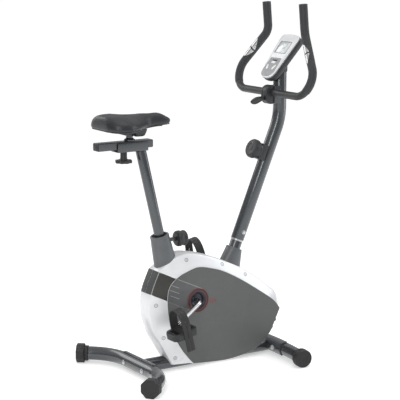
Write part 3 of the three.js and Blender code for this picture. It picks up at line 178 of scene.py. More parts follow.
def spread(tree, value, low, high):
    """A value stretched so that low becomes 0 and high becomes 1."""
    reach = {"Value": value, "From Min": low, "From Max": high}
    return add(tree, "ShaderNodeMapRange", reach).outputs["Result"]


def combined(tree, operation, one, two):
    return add(tree, "ShaderNodeMath", {0: one, 1: two}, operation=operation).outputs[0]


FLOAT = "NodeSocketFloat"

# %% Mottle, grain, dust and rubbed edges
mottle, mottle_in, mottle_out = new_group("mottle", {"Scale": 20.0}, {"Tone": FLOAT})
drift = noise(mottle, mottle_in.outputs["Scale"], 4.0, Roughness=0.55)
mottle.links.new(spread(mottle, drift, 0.3, 0.7), mottle_out.inputs["Tone"])

grain, grain_in, grain_out = new_group("mould_grain", {"Scale": 900.0}, {"Height": FLOAT})
grain_place = add(grain, "ShaderNodeTexCoord").outputs["Object"]
cells = add(grain, "ShaderNodeTexVoronoi", {"Vector": grain_place, "Scale": grain_in.outputs["Scale"]})
fuzz = noise(grain, grain_in.outputs["Scale"], 3.0)
grain.links.new(combined(grain, "ADD", cells.outputs["Distance"], fuzz), grain_out.inputs["Height"])

dust, dust_in, dust_out = new_group("settled_dust", {"Amount": 0.3}, {"Mask": FLOAT})
facing = add(dust, "ShaderNodeSeparateXYZ", {0: add(dust, "ShaderNodeTexCoord").outputs["Normal"]})
upward = spread(dust, facing.outputs["Z"], 0.35, 1.0)
specks = spread(dust, noise(dust, 160.0, 6.0), 0.42, 0.75)
settled = combined(dust, "MULTIPLY", upward, specks)
dust.links.new(combined(dust, "MULTIPLY", settled, dust_in.outputs["Amount"]), dust_out.inputs["Mask"])

rubbed, rubbed_in, rubbed_out = new_group("rubbed_edges", {"Amount": 0.5}, {"Mask": FLOAT})
pointiness = add(rubbed, "ShaderNodeNewGeometry").outputs["Pointiness"]
worn = combined(rubbed, "MULTIPLY", spread(rubbed, pointiness, 0.52, 0.62), noise(rubbed, 60.0, 5.0))
rubbed.links.new(combined(rubbed, "MULTIPLY", worn, rubbed_in.outputs["Amount"]), rubbed_out.inputs["Mask"])
print("shared effects:", [group.name for group in bpy.data.node_groups])

# %% [markdown]
# ## Finishes
# Each finish is one material that starts from the same recipe: two close tones mixed by the mottle, then
# dust and rubbed edges on top, a roughness that follows the mottle, and a bump from the grain. What makes
# paint, chrome, foam or vinyl look different is set afterwards on the shader's own sockets.


# %% The common recipe
def finish(name, dark, light, rough=(0.35, 0.45), mottle_scale=20.0, grain_scale=900.0, bump=0.1,
           grain_depth=0.0002, dust_amount=0.15, dust_tone=(0.45, 0.45, 0.44), rub_amount=0.3,
           rub_tone=None, **sockets):
    """A Principled material with mottle, dust, rubbed edges and grain; sockets sets even values."""
    material = bpy.data.materials.new(name)
    material.use_nodes = True
    tree = material.node_tree
    shader = tree.nodes["Principled BSDF"]
    tone = add(tree, "ShaderNodeGroup", node_tree=mottle)
    tone.inputs["Scale"].default_value = mottle_scale
    base = add(tree, "ShaderNodeMix", {"Factor": tone.outputs["Tone"]}, data_type="RGBA")
    base.inputs["A"].default_value = (*dark, 1.0)
    base.inputs["B"].default_value = (*light, 1.0)
    film = add(tree, "ShaderNodeGroup", node_tree=dust)
    film.inputs["Amount"].default_value = dust_amount
    dusty = add(tree, "ShaderNodeMix", {"Factor": film.outputs["Mask"], "A": base.outputs["Result"]},
                data_type="RGBA")
    dusty.inputs["B"].default_value = (*dust_tone, 1.0)
    edges = add(tree, "ShaderNodeGroup", node_tree=rubbed)
    edges.inputs["Amount"].default_value = rub_amount
    worn_base = add(tree, "ShaderNodeMix", {"Factor": edges.outputs["Mask"], "A": dusty.outputs["Result"]},
                    data_type="RGBA")
    worn_base.inputs["B"].default_value = (*(rub_tone or [min(1.0, 1.8 * c + 0.02) for c in light]), 1.0)
    tree.links.new(worn_base.outputs["Result"], shader.inputs["Base Color"])
    roughness = add(tree, "ShaderNodeMapRange", {"Value": tone.outputs["Tone"], "To Min": rough[0],
                                                 "To Max": rough[1]})
    tree.links.new(roughness.outputs["Result"], shader.inputs["Roughness"])
    pebbles = add(tree, "ShaderNodeGroup", node_tree=grain)
    pebbles.inputs["Scale"].default_value = grain_scale
    relief = add(tree, "ShaderNodeBump", {"Height": pebbles.outputs["Height"], "Strength": bump,
                                          "Distance": grain_depth})
    tree.links.new(relief.outputs["Normal"], shader.inputs["Normal"])
    for socket, value in sockets.items():
        shader.inputs[socket.replace("_", " ")].default_value = value
    return material


# %% Painted and metal finishes
gunmetal = finish("gunmetal_paint", (0.064, 0.070, 0.075), (0.074, 0.080, 0.086), rough=(0.23, 0.27),
                  mottle_scale=10.0, grain_scale=600.0, bump=0.015, grain_depth=0.00004, dust_amount=0.0,
                  rub_amount=0.0, Metallic=0.6, Coat_Weight=0.6, Coat_Roughness=0.10)
chrome = finish("chrome_plate", (0.70, 0.70, 0.71), (0.80, 0.80, 0.81), rough=(0.06, 0.13), bump=0.03,
                mottle_scale=60.0, dust_amount=0.05, rub_amount=0.0, Metallic=1.0)
sensor_steel = finish("sensor_steel", (0.46, 0.46, 0.46), (0.58, 0.58, 0.58), rough=(0.22, 0.32),
                      mottle_scale=70.0, bump=0.05, dust_amount=0.0, rub_amount=0.0, Metallic=1.0)
zinc = finish("zinc_plate", (0.42, 0.43, 0.44), (0.60, 0.61, 0.62), rough=(0.25, 0.38), mottle_scale=90.0,
              bump=0.08, dust_amount=0.05, Metallic=1.0)
# Steel for the cover screws and their wells, painted darker as painted shade in the sunken wells.
screw_steel_well_shade = finish("screw_steel_well_shade", (0.16, 0.165, 0.17), (0.24, 0.245, 0.25), rough=(0.35, 0.5),
                     Metallic=0.7)
iron = finish("turned_iron", (0.035, 0.035, 0.038), (0.06, 0.06, 0.063), rough=(0.4, 0.6), Metallic=0.8)

# %% Plastic and rubber finishes
boot_plastic = finish("boot_plastic", (0.085, 0.091, 0.096), (0.105, 0.112, 0.118), rough=(0.34, 0.42),
                      grain_scale=1500.0, bump=0.18)
black_plastic = finish("black_plastic", (0.012, 0.013, 0.014), (0.020, 0.021, 0.023), rough=(0.38, 0.52),
                       grain_scale=1400.0, bump=0.25, dust_amount=0.10)
rubber = finish("black_rubber", (0.013, 0.013, 0.014), (0.022, 0.022, 0.023), rough=(0.60, 0.78),
                grain_scale=1100.0, bump=0.3, dust_amount=0.22)
panel_grey = finish("panel_grey", (0.080, 0.084, 0.081), (0.090, 0.094, 0.091), rough=(0.46, 0.56),
                    grain_scale=1700.0, bump=0.22, dust_amount=0.05)
# The wedge print on the sloped band: the same print as on the wall (wall_grey), painted darker as painted shade
# for a band that faces away from the light.
ramp_shade_grey = finish("ramp_shade_grey", (0.030, 0.030, 0.026), (0.040, 0.039, 0.035), rough=(0.30, 0.42),
                   grain_scale=1700.0, bump=0.15, dust_amount=0.06)
wall_grey = finish("wall_grey", (0.052, 0.055, 0.055), (0.066, 0.069, 0.069), rough=(0.36, 0.46),
                   grain_scale=1700.0, bump=0.15, dust_amount=0.04, rub_amount=0.0)
insert_grey = finish("insert_grey", (0.068, 0.072, 0.073), (0.080, 0.084, 0.085), rough=(0.40, 0.5),
                     grain_scale=1700.0, bump=0.15, dust_amount=0.05)
cover_silver = finish("cover_silver", (0.70, 0.705, 0.72), (0.79, 0.795, 0.81), rough=(0.26, 0.34),
                      mottle_scale=9.0, grain_scale=3000.0, bump=0.05, grain_depth=0.00006,
                      dust_amount=0.03, rub_amount=0.0, Metallic=0.12, Coat_Weight=0.5, Coat_Roughness=0.12)
line_silver = finish("line_silver", (0.30, 0.31, 0.31), (0.37, 0.38, 0.38), rough=(0.35, 0.45))
stripe_grey = finish("stripe_grey", (0.055, 0.057, 0.056), (0.075, 0.077, 0.076), rough=(0.35, 0.45),
                     rub_amount=0.0)
mark_red = finish("mark_red", (0.19, 0.020, 0.024), (0.26, 0.026, 0.030), rough=(0.35, 0.45),
                  rub_amount=0.0)
ring_maroon = finish("ring_maroon", (0.022, 0.011, 0.013), (0.034, 0.014, 0.016), rough=(0.35, 0.5))
recess_navy = finish("recess_navy", (0.010, 0.013, 0.021), (0.018, 0.022, 0.033), rough=(0.3, 0.45))

# %% Soft finishes and the console
vinyl = finish("saddle_vinyl", (0.011, 0.012, 0.015), (0.015, 0.016, 0.020), rough=(0.36, 0.44),
               mottle_scale=14.0, grain_scale=700.0, bump=0.22, grain_depth=0.0002, dust_amount=0.02,
               rub_amount=0.0)
foam = finish("grip_foam", (0.018, 0.019, 0.021), (0.028, 0.030, 0.033), rough=(0.52, 0.66),
              mottle_scale=120.0, grain_scale=1300.0, bump=0.4, grain_depth=0.0003, dust_amount=0.04,
              rub_amount=0.0)
console_silver = finish("console_silver", (0.70, 0.71, 0.72), (0.78, 0.79, 0.80), rough=(0.28, 0.36),
                        grain_scale=2600.0, bump=0.05, dust_amount=0.03, rub_amount=0.0, Metallic=0.1)
console_lower = finish("console_lower", (0.20, 0.205, 0.21), (0.25, 0.255, 0.26), rough=(0.3, 0.4),
                       Metallic=0.2)
screen_grey = finish("screen_grey", (0.56, 0.59, 0.60), (0.62, 0.65, 0.66), rough=(0.10, 0.14), bump=0.02,
                     mottle_scale=6.0, Coat_Weight=1.0, Coat_Roughness=0.03)
screen_ink = finish("screen_ink", (0.25, 0.27, 0.28), (0.30, 0.32, 0.33), rough=(0.3, 0.4))
print("finishes:", len(bpy.data.materials))

# %% [markdown]
# ## Drawing pieces
# All pieces below are drawn in millimetres, the unit the bike was designed in, and scaled once when they
# become meshes. A handful of helpers covers the shapes of this bike: a lathe for knobs and bolts, a sweep
# for bent tubes, a loft for moulded skins and a sheet with openings for panels and pedals. Rounded corners
# are modelled, since a highlight that runs along an edge is what makes metal and plastic look real.


# %% Placing and dressing
def mm(x, y, z):
    """A point in millimetres."""
    return Vector((x, y, z))


def moved(x, y, z):
    return Matrix.Translation((x, y, z))


def turned_to(origin, up, across=(1, 0, 0)):
    """A placing whose local z is up, and whose local x is across as nearly as it can be."""
    z = Vector(up).normalized()
    x = Vector(across) - z * z.dot(Vector(across))
    if x.length < 1e-6:
        x = z.orthogonal()
    x.normalize()
    placed = Matrix((x, z.cross(x), z)).transposed().to_4x4()
    placed.translation = Vector(origin)
    return placed


def add_mesh(name, corners, faces, crease=40):
    """A smooth-shaded mesh from corners in millimetres, with creases kept sharp."""
    mesh = bpy.data.meshes.new(name)
    mesh.from_pydata([Vector(corner) / 1000 for corner in corners], [], faces)
    tidy = bmesh.new()
    tidy.from_mesh(mesh)
    bmesh.ops.remove_doubles(tidy, verts=tidy.verts, dist=2e-6)
    bmesh.ops.recalc_face_normals(tidy, faces=tidy.faces)
    tidy.to_mesh(mesh)
    tidy.free()
    mesh.shade_smooth()
    mesh.set_sharp_from_angle(angle=radians(crease))
    made = bpy.data.objects.new(name, mesh)
    scene.collection.objects.link(made)
    return made


def apply_modifiers(piece):
    """Bakes a piece's modifiers into its mesh, as it stands at the current frame."""
    baked = bpy.data.meshes.new_from_object(piece.evaluated_get(bpy.context.evaluated_depsgraph_get()))
    piece.modifiers.clear()
    piece.data = baked
    return piece


def dress(piece, body, slot_name, material, *nodes):
    """Gives a piece its finish and its body, and hides the solids that it stands for."""
    piece.data.materials.clear()
    piece.data.materials.append(material)
    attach(piece, body)
    if nodes:
        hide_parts(*nodes)
    return piece


# %% Outlines
def soften(points, radius, closed=False, steps=4):
    """A polyline with each corner turned into a short curve."""
    count = len(points)
    soft = []
    for i in range(count):
        here = Vector(points[i])
        if not closed and i in (0, count - 1):
            soft.append(here)
            continue
        before = Vector(points[i - 1]) - here
        after = Vector(points[(i + 1) % count]) - here
        reach = min(radius, 0.45 * before.length, 0.45 * after.length)
        if reach < 1e-4:
            soft.append(here)
            continue
        start = here + before.normalized() * reach
        end = here + after.normalized() * reach
        for k in range(steps + 1):
            t = k / steps
            soft.append(start * (1 - t) ** 2 + here * 2 * t * (1 - t) + end * t ** 2)
    return soft


def spline_through(points, steps=12):
    """A smooth curve through all the points, with its ends relaxed."""
    points = [Vector(point) for point in points]
    curve = []
    last = len(points) - 1
    for i in range(last):
        p0, p1, p2, p3 = points[max(i - 1, 0)], points[i], points[i + 1], points[min(i + 2, last)]
        v0, v1 = (p2 - p0) / 2, (p3 - p1) / 2
        for k in range(steps):
            t = k / steps
            curve.append((2 * p1 - 2 * p2 + v0 + v1) * t ** 3 + (-3 * p1 + 3 * p2 - 2 * v0 - v1) * t ** 2
                         + v0 * t + p1)
    curve.append(points[last])
    return curve


def circle(radius, sides=48):
    angles = [2 * pi * k / sides for k in range(sides)]
    return [Vector((radius * cos(a), radius * sin(a))) for a in angles]


def oblong(half_x, half_y, radius, steps=6):
    """A rectangle with rounded corners, about the middle."""
    return soften([(-half_x, -half_y), (half_x, -half_y), (half_x, half_y), (-half_x, half_y)], radius,
                  closed=True, steps=steps)


# %% Lofts, lathes and sweeps
def loft(name, rings, crease=40, capped=True, ring_shaped=False):
    """A skin through rings of equal count."""
    count = len(rings[0])
    corners = [corner for ring in rings for corner in ring]
    faces = []
    pairs = list(zip(range(len(rings) - 1), range(1, len(rings))))
    if ring_shaped:
        pairs.append((len(rings) - 1, 0))
    for low, high in pairs:
        for k in range(count):
            after = (k + 1) % count
            faces.append((low * count + k, low * count + after, high * count + after, high * count + k))
    if capped and not ring_shaped:
        faces.append(tuple(range(count)))
        faces.append(tuple((len(rings) - 1) * count + k for k in range(count)))
    return add_mesh(name, corners, faces, crease)


def lathe(name, profile, placed, radius=0.8, sides=56, crease=40, ring_shaped=False):
    """A turned piece from (radius, height) pairs about the local z axis."""
    line = soften(profile, radius, closed=ring_shaped)
    rings = [[placed @ Vector((r * cos(2 * pi * k / sides), r * sin(2 * pi * k / sides), h))
              for k in range(sides)] for r, h in line]
    return loft(name, rings, crease, capped=False, ring_shaped=ring_shaped)


def bend_path(points, radii, step_deg=5):
    """Straight runs joined by true arcs."""
    points = [Vector(point) for point in points]
    path = [points[0]]
    for i in range(1, len(points) - 1):
        come = (points[i] - points[i - 1]).normalized()
        go = (points[i + 1] - points[i]).normalized()
        turn = come.angle(go)
        radius = radii[i - 1]
        start = points[i] - come * radius * tan(turn / 2)
        inward = (go - come * come.dot(go)).normalized()
        steps = max(3, round(degrees(turn) / step_deg))
        for k in range(steps + 1):
            angle = turn * k / steps
            path.append(start + come * radius * sin(angle) + inward * radius * (1 - cos(angle)))
    path.append(points[-1])
    return path


def stretch(path, start, end):
    """The part of a path between two distances along it."""
    kept = []
    gone = 0.0
    for before, after in zip(path, path[1:]):
        run = (after - before).length
        if run < 1e-9:
            continue
        if not kept and gone + run > start:
            kept.append(before.lerp(after, max(0.0, (start - gone) / run)))
        if kept and gone + run >= end:
            kept.append(before.lerp(after, (end - gone) / run))
            return kept
        if kept:
            kept.append(after)
        gone += run
    return kept


def path_length(path):
    return sum((after - before).length for before, after in zip(path, path[1:]))


def sweep(name, path, section, up=(0, 0, 1), lip=0.0, crease=40, capped=True):
    """A section of (side, up) pairs carried along a path; lip rounds both ends."""
    path = [Vector(point) for point in path]
    shares = [1.0] * len(path)
    if lip:
        first = (path[1] - path[0]).normalized()
        final = (path[-1] - path[-2]).normalized()
        size = max(Vector(corner).length for corner in section)
        drop = (size - lip) / size
        path = ([path[0], path[0] + first * lip * 0.3, path[0] + first * lip] + path[1:-1]
                + [path[-1] - final * lip, path[-1] - final * lip * 0.3, path[-1]])
        shares = [drop, (drop + 2) / 3, 1.0] + shares[1:-1] + [1.0, (drop + 2) / 3, drop]
    rings = []
    square_up = Vector(up)
    for i, point in enumerate(path):
        heading = (path[min(i + 1, len(path) - 1)] - path[max(i - 1, 0)]).normalized()
        square_up = (square_up - heading * square_up.dot(heading)).normalized()
        side = heading.cross(square_up)
        rings.append([point + (side * a + square_up * b) * shares[i] for a, b in section])
    return loft(name, rings, crease, capped)


def tube(name, path, radius, lip=0.8, sides=48):
    return sweep(name, path, circle(radius, sides), up=(0.0, 0.3, 1.0), lip=lip)


# %% Sheets with openings, slabs and joined pieces
def sheet_with_holes(name, outer_rings, hole_rings, crease=40):
    """A skin from the first outer ring to the last, closed at both ends, with holes through it."""
    made = bmesh.new()

    def wall(rings):
        loops = [[made.verts.new(Vector(corner) / 1000) for corner in ring] for ring in rings]
        for low, high in zip(loops, loops[1:]):
            for k in range(len(low)):
                after = (k + 1) % len(low)
                made.faces.new((low[k], low[after], high[after], high[k]))
        return loops[0], loops[-1]

    ends = [wall(outer_rings)] + [wall(rings) for rings in hole_rings]
    for which in (0, 1):
        edges = []
        for pair in ends:
            loop = pair[which]
            for k in range(len(loop)):
                one, two = loop[k], loop[(k + 1) % len(loop)]
                edges.append(made.edges.get((one, two)) or made.edges.new((one, two)))
        bmesh.ops.triangle_fill(made, edges=edges, use_beauty=True)
    bmesh.ops.recalc_face_normals(made, faces=made.faces)
    mesh = bpy.data.meshes.new(name)
    made.to_mesh(mesh)
    made.free()
    mesh.shade_smooth()
    mesh.set_sharp_from_angle(angle=radians(crease))
    sheet = bpy.data.objects.new(name, mesh)
    scene.collection.objects.link(sheet)
    return sheet


def slab(name, outline, thickness, placed, edge=0.8, crease=40):
    """A plate with rounded rims: its outline is drawn on the local x-y plane and rises along z."""
    made = bmesh.new()
    low = [made.verts.new((placed @ Vector((x, y, 0))) / 1000) for x, y in outline]
    high = [made.verts.new((placed @ Vector((x, y, thickness))) / 1000) for x, y in outline]
    count = len(outline)
    for k in range(count):
        after = (k + 1) % count
        made.faces.new((low[k], low[after], high[after], high[k]))
    made.faces.new(low)
    made.faces.new(high)
    bmesh.ops.recalc_face_normals(made, faces=made.faces)
    if edge > 0:
        rims = [rim for rim in made.edges if (rim.verts[0] in low) == (rim.verts[1] in low)]
        bmesh.ops.bevel(made, geom=rims, offset=edge / 1000, segments=3, profile=0.5, affect="EDGES",
                        clamp_overlap=True)
    mesh = bpy.data.meshes.new(name)
    made.to_mesh(mesh)
    made.free()
    mesh.shade_smooth()
    mesh.set_sharp_from_angle(angle=radians(crease))
    plate = bpy.data.objects.new(name, mesh)
    scene.collection.objects.link(plate)
    return plate


def joined(name, *parts):
    """Several meshes as one piece."""
    gathered = bmesh.new()
    for part in parts:
        part.data.transform(part.matrix_world)
        gathered.from_mesh(part.data)
    mesh = bpy.data.meshes.new(name)
    gathered.to_mesh(mesh)
    gathered.free()
    for part in parts:
        bpy.data.objects.remove(part, do_unlink=True)
    mesh.shade_smooth()
    mesh.set_sharp_from_angle(angle=radians(40))
    made = bpy.data.objects.new(name, mesh)
    scene.collection.objects.link(made)
    return made


# %% [markdown]
# ## Cross feet
# The bike stands on two bent tubes. The rear one is straight in the middle and sweeps back at both ends,
# the front one is a shallow bow. Each is one tube drawn round a former, so one path swept by one circle
# is both the right shape and the way it was made.

# %% Feet
FOOT_Z = 34.0
FOOT_R = 25.4
REAR_X = -262.0
FRONT_X = 318.0
REAR_FLAT = 91.0
REAR_SWEEP = 184.0
REAR_TURN = radians(52.5)
FRONT_BOW = 1330.0
FRONT_HALF = 228.0


def rear_foot_path():
    half = [mm(REAR_X, 0, FOOT_Z), mm(REAR_X, REAR_FLAT, FOOT_Z)]
    for k in range(1, 15):
        angle = REAR_TURN * k / 14
        half.append(mm(REAR_X - REAR_SWEEP * (1 - cos(angle)), REAR_FLAT + REAR_SWEEP * sin(angle), FOOT_Z))
    half.append(half[-1] + mm(-sin(REAR_TURN), cos(REAR_TURN), 0) * 6)
    return [mm(p.x, -p.y, p.z) for p in reversed(half)] + half[1:]


def front_foot_path(steps=24):
    turn = FRONT_HALF / FRONT_BOW
    angles = [turn * (k / steps * 2 - 1) for k in range(steps + 1)]
    return [mm(FRONT_X - FRONT_BOW * (1 - cos(a)), FRONT_BOW * sin(a), FOOT_Z) for a in angles]


rear_path = rear_foot_path()
front_path = front_foot_path()
dress(tube("rear_foot_tube", rear_path, FOOT_R), "frame", "frame_paint", gunmetal, "rear_stabilizer")
dress(tube("front_foot_tube", front_path, FOOT_R), "frame", "frame_paint", gunmetal, "front_stabilizer")
print("feet:", round(path_length(rear_path)), "and", round(path_length(front_path)), "mm of tube")

# %% [markdown]
# Each foot is held by a pressed steel cradle that wraps the side facing the spine, with two carriage
# bolts through both. A thin dark weld runs round the real cradle where the paint is thickest, but it is
# not drawn here.


# %% Cradles
def cradle_section(facing):
    """The curved strip of a cradle, seen along the foot."""
    outer = [radians(-54 + 152 * k / 20) for k in range(21)]
    strip = [(facing * 29.7 * cos(a), 29.7 * sin(a)) for a in outer]
    strip += [(facing * 25.7 * cos(a), 25.7 * sin(a)) for a in reversed(outer)]
    return soften(strip, 0.5, closed=True, steps=2)


for name, path, half, facing, node in (("rear_cradle", rear_path, 104, 1, "rear_bracket"),
                                       ("front_cradle", front_path, 118, -1, "front_bracket")):
    middle = path_length(path) / 2
    run = stretch(path, middle - half, middle + half)
    cradle = sweep(name, run, cradle_section(facing), lip=0.6)
    dress(cradle, "frame", "frame_paint", gunmetal, node)

dress(tube("spine_tube_skin", [mm(REAR_X + 8, 0, 29), mm(FRONT_X - 8, 0, 29)], 25.0), "frame", "frame_paint",
      gunmetal, "spine_tube")

# %% Carriage bolts
HEAD_PROFILE = [(0, -30.2), (3.2, -30.0), (6.2, -29.0), (8.4, -27.4), (9.0, -25.7), (4.0, -25.5)]
NUT_PROFILE = [(4.0, 29.8), (9.5, 29.8), (9.5, 31.6), (7.6, 32.2), (7.4, 36.5), (4.8, 39.2), (0, 39.9)]
for side_name, side in (("left", 1), ("right", -1)):
    for foot_name, foot_x, facing in (("rear", REAR_X, 1), ("front", FRONT_X, -1)):
        seat = turned_to(mm(foot_x - (0 if facing > 0 else 1.6), side * 66, FOOT_Z), mm(facing, 0, 0))
        bolt = joined(f"{foot_name}_carriage_bolt_{side_name}",
                      lathe("bolt_head", HEAD_PROFILE, seat, 0.6, 32),
                      lathe("bolt_nut", NUT_PROFILE, seat, 0.6, 32))
        nodes = [f"rear_bolt_{side_name}"] if foot_name == "rear" else []
        dress(bolt, "frame", "zinc", zinc, *nodes)

# %% [markdown]
# ## Levellers and rollers
# The rear foot ends in eight-sided caps whose flats take up an uneven floor when they are turned. The
# front foot ends in round ribbed rollers, for tipping the bike and wheeling it away. Both are rubbery
# mouldings, so their edges are soft and their ends carry a shallow ring.

# %% Leveller caps
rear_end = rear_path[-1]
rear_heading = mm(-sin(REAR_TURN), cos(REAR_TURN), 0)
front_end = front_path[-1]
OCTAGON_R = FOOT_Z / cos(pi / 8)
COLLAR_PROFILE = [(23, 0.4), (28.6, 0.4), (29, 5), (29, 10), (27.4, 11), (27.4, 14.6), (23, 14.6)]
DISH_PROFILE = [(0, 43.9), (19, 43.9), (20, 44.5), (23, 44.5), (24, 43.9), (24.5, 43.0)]
for side_name, side in (("left", 1), ("right", -1)):
    place = turned_to(mm(rear_end.x, side * rear_end.y, rear_end.z),
                      mm(rear_heading.x, side * rear_heading.y, 0), mm(0, 0, -1))
    octagon = soften([(OCTAGON_R * cos(pi / 8 + pi / 4 * k), OCTAGON_R * sin(pi / 8 + pi / 4 * k))
                      for k in range(8)], 2.2, closed=True)
    cap = slab("cap", octagon, 30, place @ moved(0, 0, 14), 2.6)
    collar = lathe("collar", COLLAR_PROFILE, place, 0.9)
    dish = lathe("dish", DISH_PROFILE, place, 0.5)
    dress(joined(f"leveller_cap_{side_name}", cap, collar, dish), f"{side_name}_leveller", "rubber", rubber,
          f"rear_leveller_{side_name}")



# %% Ribbed rollers
def around(placed, count):
    """The same placing turned about its own axis in equal steps."""
    return [placed @ Matrix.Rotation(2 * pi * k / count, 4, "Z") for k in range(count)]


ROLLER_PROFILE = [(22, 0.8), (33, 0.8), (34, 2.0), (34, 12.0), (32.6, 13.6), (32.6, 15.4), (34, 17.0),
                  (34, 27.5), (31, 31.6), (27.6, 32.0), (26.6, 31.2), (24.4, 31.2), (23.4, 32.0), (13.5, 32.0),
                  (12.5, 31.0), (0, 31.0)]
for side_name, side in (("left", 1), ("right", -1)):
    spin_axis = joint_axis(f"{side_name}_roller_spin")
    place = turned_to(mm(front_end.x, side * front_end.y, front_end.z), spin_axis)
    tread = lathe("tread", ROLLER_PROFILE, place, 1.0, 72)
    notches = [slab("notch", oblong(0.9, 1.6, 0.6, 2), 9, spot @ moved(33.4, 0, 2.5), 0.3)
               for spot in around(place, 24)]
    dress(joined(f"roller_tread_{side_name}", tread, *notches), f"{side_name}_roller", "rubber", rubber,
          f"front_roller_{side_name}")
print("levellers and rollers made")

# %% [markdown]
# ## Posts inside the covers
# The seat tube and the stub of the mast stand on the spine and pass up through the covers. Only their
# upper ends show, but they are drawn whole so that nothing ends in the air when seen from above.

# %% Seat tube, stub and post
SEAT_LEAN = radians(13.4)
MAST_LEAN = radians(23.0)
seat_up = mm(-sin(SEAT_LEAN), 0, cos(SEAT_LEAN))
mast_up = mm(sin(MAST_LEAN), 0, cos(MAST_LEAN))
mast_back = mm(-mast_up.z, 0, mast_up.x)


def seat_at(z):
    return mm(-171 - (z - 506) * tan(SEAT_LEAN), 0, z)


def mast_at(z):
    return mm(178 + (z - 481) * tan(MAST_LEAN), 0, z)


SEAT_TUBE_TOP = 500
seat_tube_skin = tube("seat_tube_skin", [seat_at(48), seat_at(SEAT_TUBE_TOP)], 24.0)
dress(seat_tube_skin, "frame", "frame_paint", gunmetal, "seat_tube")
mast_stub_skin = tube("mast_stub_skin", [mast_at(48), mast_at(540)], 22.5)
dress(mast_stub_skin, "frame", "frame_paint", gunmetal, "mast_stub")
BUSHING_PROFILE = [(19.3, -12), (21.6, -12), (21.6, 0.3), (27, 0.3), (27, 3.3), (19.3, 3.3)]
bushing = lathe("seat_bushing_ring", BUSHING_PROFILE, turned_to(seat_at(SEAT_TUBE_TOP), seat_up), 0.5,
                ring_shaped=True)
dress(bushing, "frame", "black_plastic", black_plastic, "seat_bushing")
dress(tube("seat_post_skin", [seat_at(300), seat_at(824.6)], 19.0), "seat_post_set", "frame_paint", gunmetal,
      "seat_post")
HEIGHT_HOLE = [(0, 18.6), (4.4, 18.6), (4.9, 19.2), (5.4, 19.05), (5.6, 18.2)]
post_front = mm(cos(SEAT_LEAN), 0, sin(SEAT_LEAN))
post_marks = [lathe("height_hole", HEIGHT_HOLE, turned_to(seat_at(560 + 40 * step), post_front), 0.2, 24)
              for step in range(5)]
dress(joined("seat_height_holes", *post_marks), "seat_post_set", "black_plastic", black_plastic)
print("tubes inside the covers and", len(post_marks), "height holes made")


# %% [markdown]
# ## Boots
# Two flared plastic boots close the gap where the tubes leave the covers. The real ones are moulded in
# one shot with a thin rolled lip at the top; a loft from an oval to a circle with a straight side does
# the same.

# %% Boots
def boot(name, top_centre, up, top_r, base_centre, base_x, base_y, node):
    """A flared sleeve from an oval at its base to a rolled lip round the tube."""
    sides = 72
    steps = 22
    turn = Vector((0, 0, 1)).rotation_difference(up)
    rings = []
    for step in range(steps + 1):
        t = step / steps
        axis = base_centre.lerp(top_centre, t)
        ring = []
        for p in circle(1.0, sides):
            oval = mm(base_x / 2 * p.x, base_y / 2 * p.y, 0)
            round_top = mm(top_r * p.x, top_r * p.y, 0)
            line = (base_centre + oval).lerp(top_centre + turn @ round_top, t)
            ring.append(axis + (line - axis).normalized() * oval.lerp(round_top, t).length)
        rings.append(ring)
    for shrink, lift in ((1.5, 1.2), (4.5, 1.4), (6.5, 0.4), (7.0, -9.0)):
        rings.append([top_centre + turn @ mm(p.x, p.y, lift) for p in circle(top_r - shrink, sides)])
    skin = loft(name + "_skin", rings, crease=50, capped=False)
    lip = lathe(name + "_lip", [(top_r - 0.4, -7), (top_r + 1.0, -6), (top_r + 1.0, -1), (top_r - 1.0, 0.6)],
                turned_to(top_centre, up), 0.8, sides)
    return dress(joined(name + "_moulding", skin, lip), "frame", "boot_plastic", boot_plastic, node)


boot("seat_boot", seat_at(508), seat_up, 34.0, seat_at(350), 100, 71, "seat_boot")
boot("mast_boot", mast_at(424), mast_up, 30.0, mast_at(315) + mm(4, 0, 0), 118, 66, "mast_boot")
print("boots made")

# %% [markdown]
# ## Covers
# Two shells meet at a seam in the middle plane and are screwed together. Seen from the side each has two
# outlines: the rim, where the shell turns inwards, and the flat panel that it rises to. A skin lofted
# between the two, ring by ring, gives the sloped band that catches the light like a moulded part.

# %% The two outlines of the covers
COVER_MIDDLE = Vector((60.0, 215.0))
RIM_OUTLINE = (
    spline_through([(-138, 25), (-181, 96), (-212, 150), (-234, 225), (-231, 300), (-197, 382)])[:-1]
    + spline_through([(-197, 382), (-156, 407), (-113, 428), (-70, 434), (8, 417), (90, 386), (163, 352),
                      (245, 301), (312, 248)])[:-1]
    + spline_through([(312, 248), (327, 222), (334, 186), (322, 148)])
    + spline_through([(293, 96), (262, 62), (222, 34), (156, 18), (81, 11), (8, 14), (-61, 20)]))
PANEL_OUTLINE = (
    spline_through([(-61, 22), (-108, 78), (-143, 140), (-164, 205), (-171, 268), (-164, 316), (-143, 344),
                    (-111, 365)])[:-1]
    + spline_through([(-111, 365), (-43, 384), (21, 373), (80, 352), (154, 312), (229, 264), (298, 216),
                      (328, 180)])
    + spline_through([(288, 97), (257, 65), (218, 37), (156, 21), (81, 14), (8, 17)]))


def reach_of(outline, angle):
    """How far an outline is from the cover's middle in one direction."""
    ray = Vector((cos(angle), sin(angle)))
    far = 0.0
    for i, a in enumerate(outline):
        edge = outline[(i + 1) % len(outline)] - a
        to = a - COVER_MIDDLE
        cross = ray.x * edge.y - ray.y * edge.x
        if abs(cross) < 1e-9:
            continue
        distance = (to.x * edge.y - to.y * edge.x) / cross
        share = (to.x * ray.y - to.y * ray.x) / cross
        if -1e-6 <= share <= 1 + 1e-6:
            far = max(far, distance)
    return far


# %% The skin as a function of direction and share
COVER_SIDES = 240
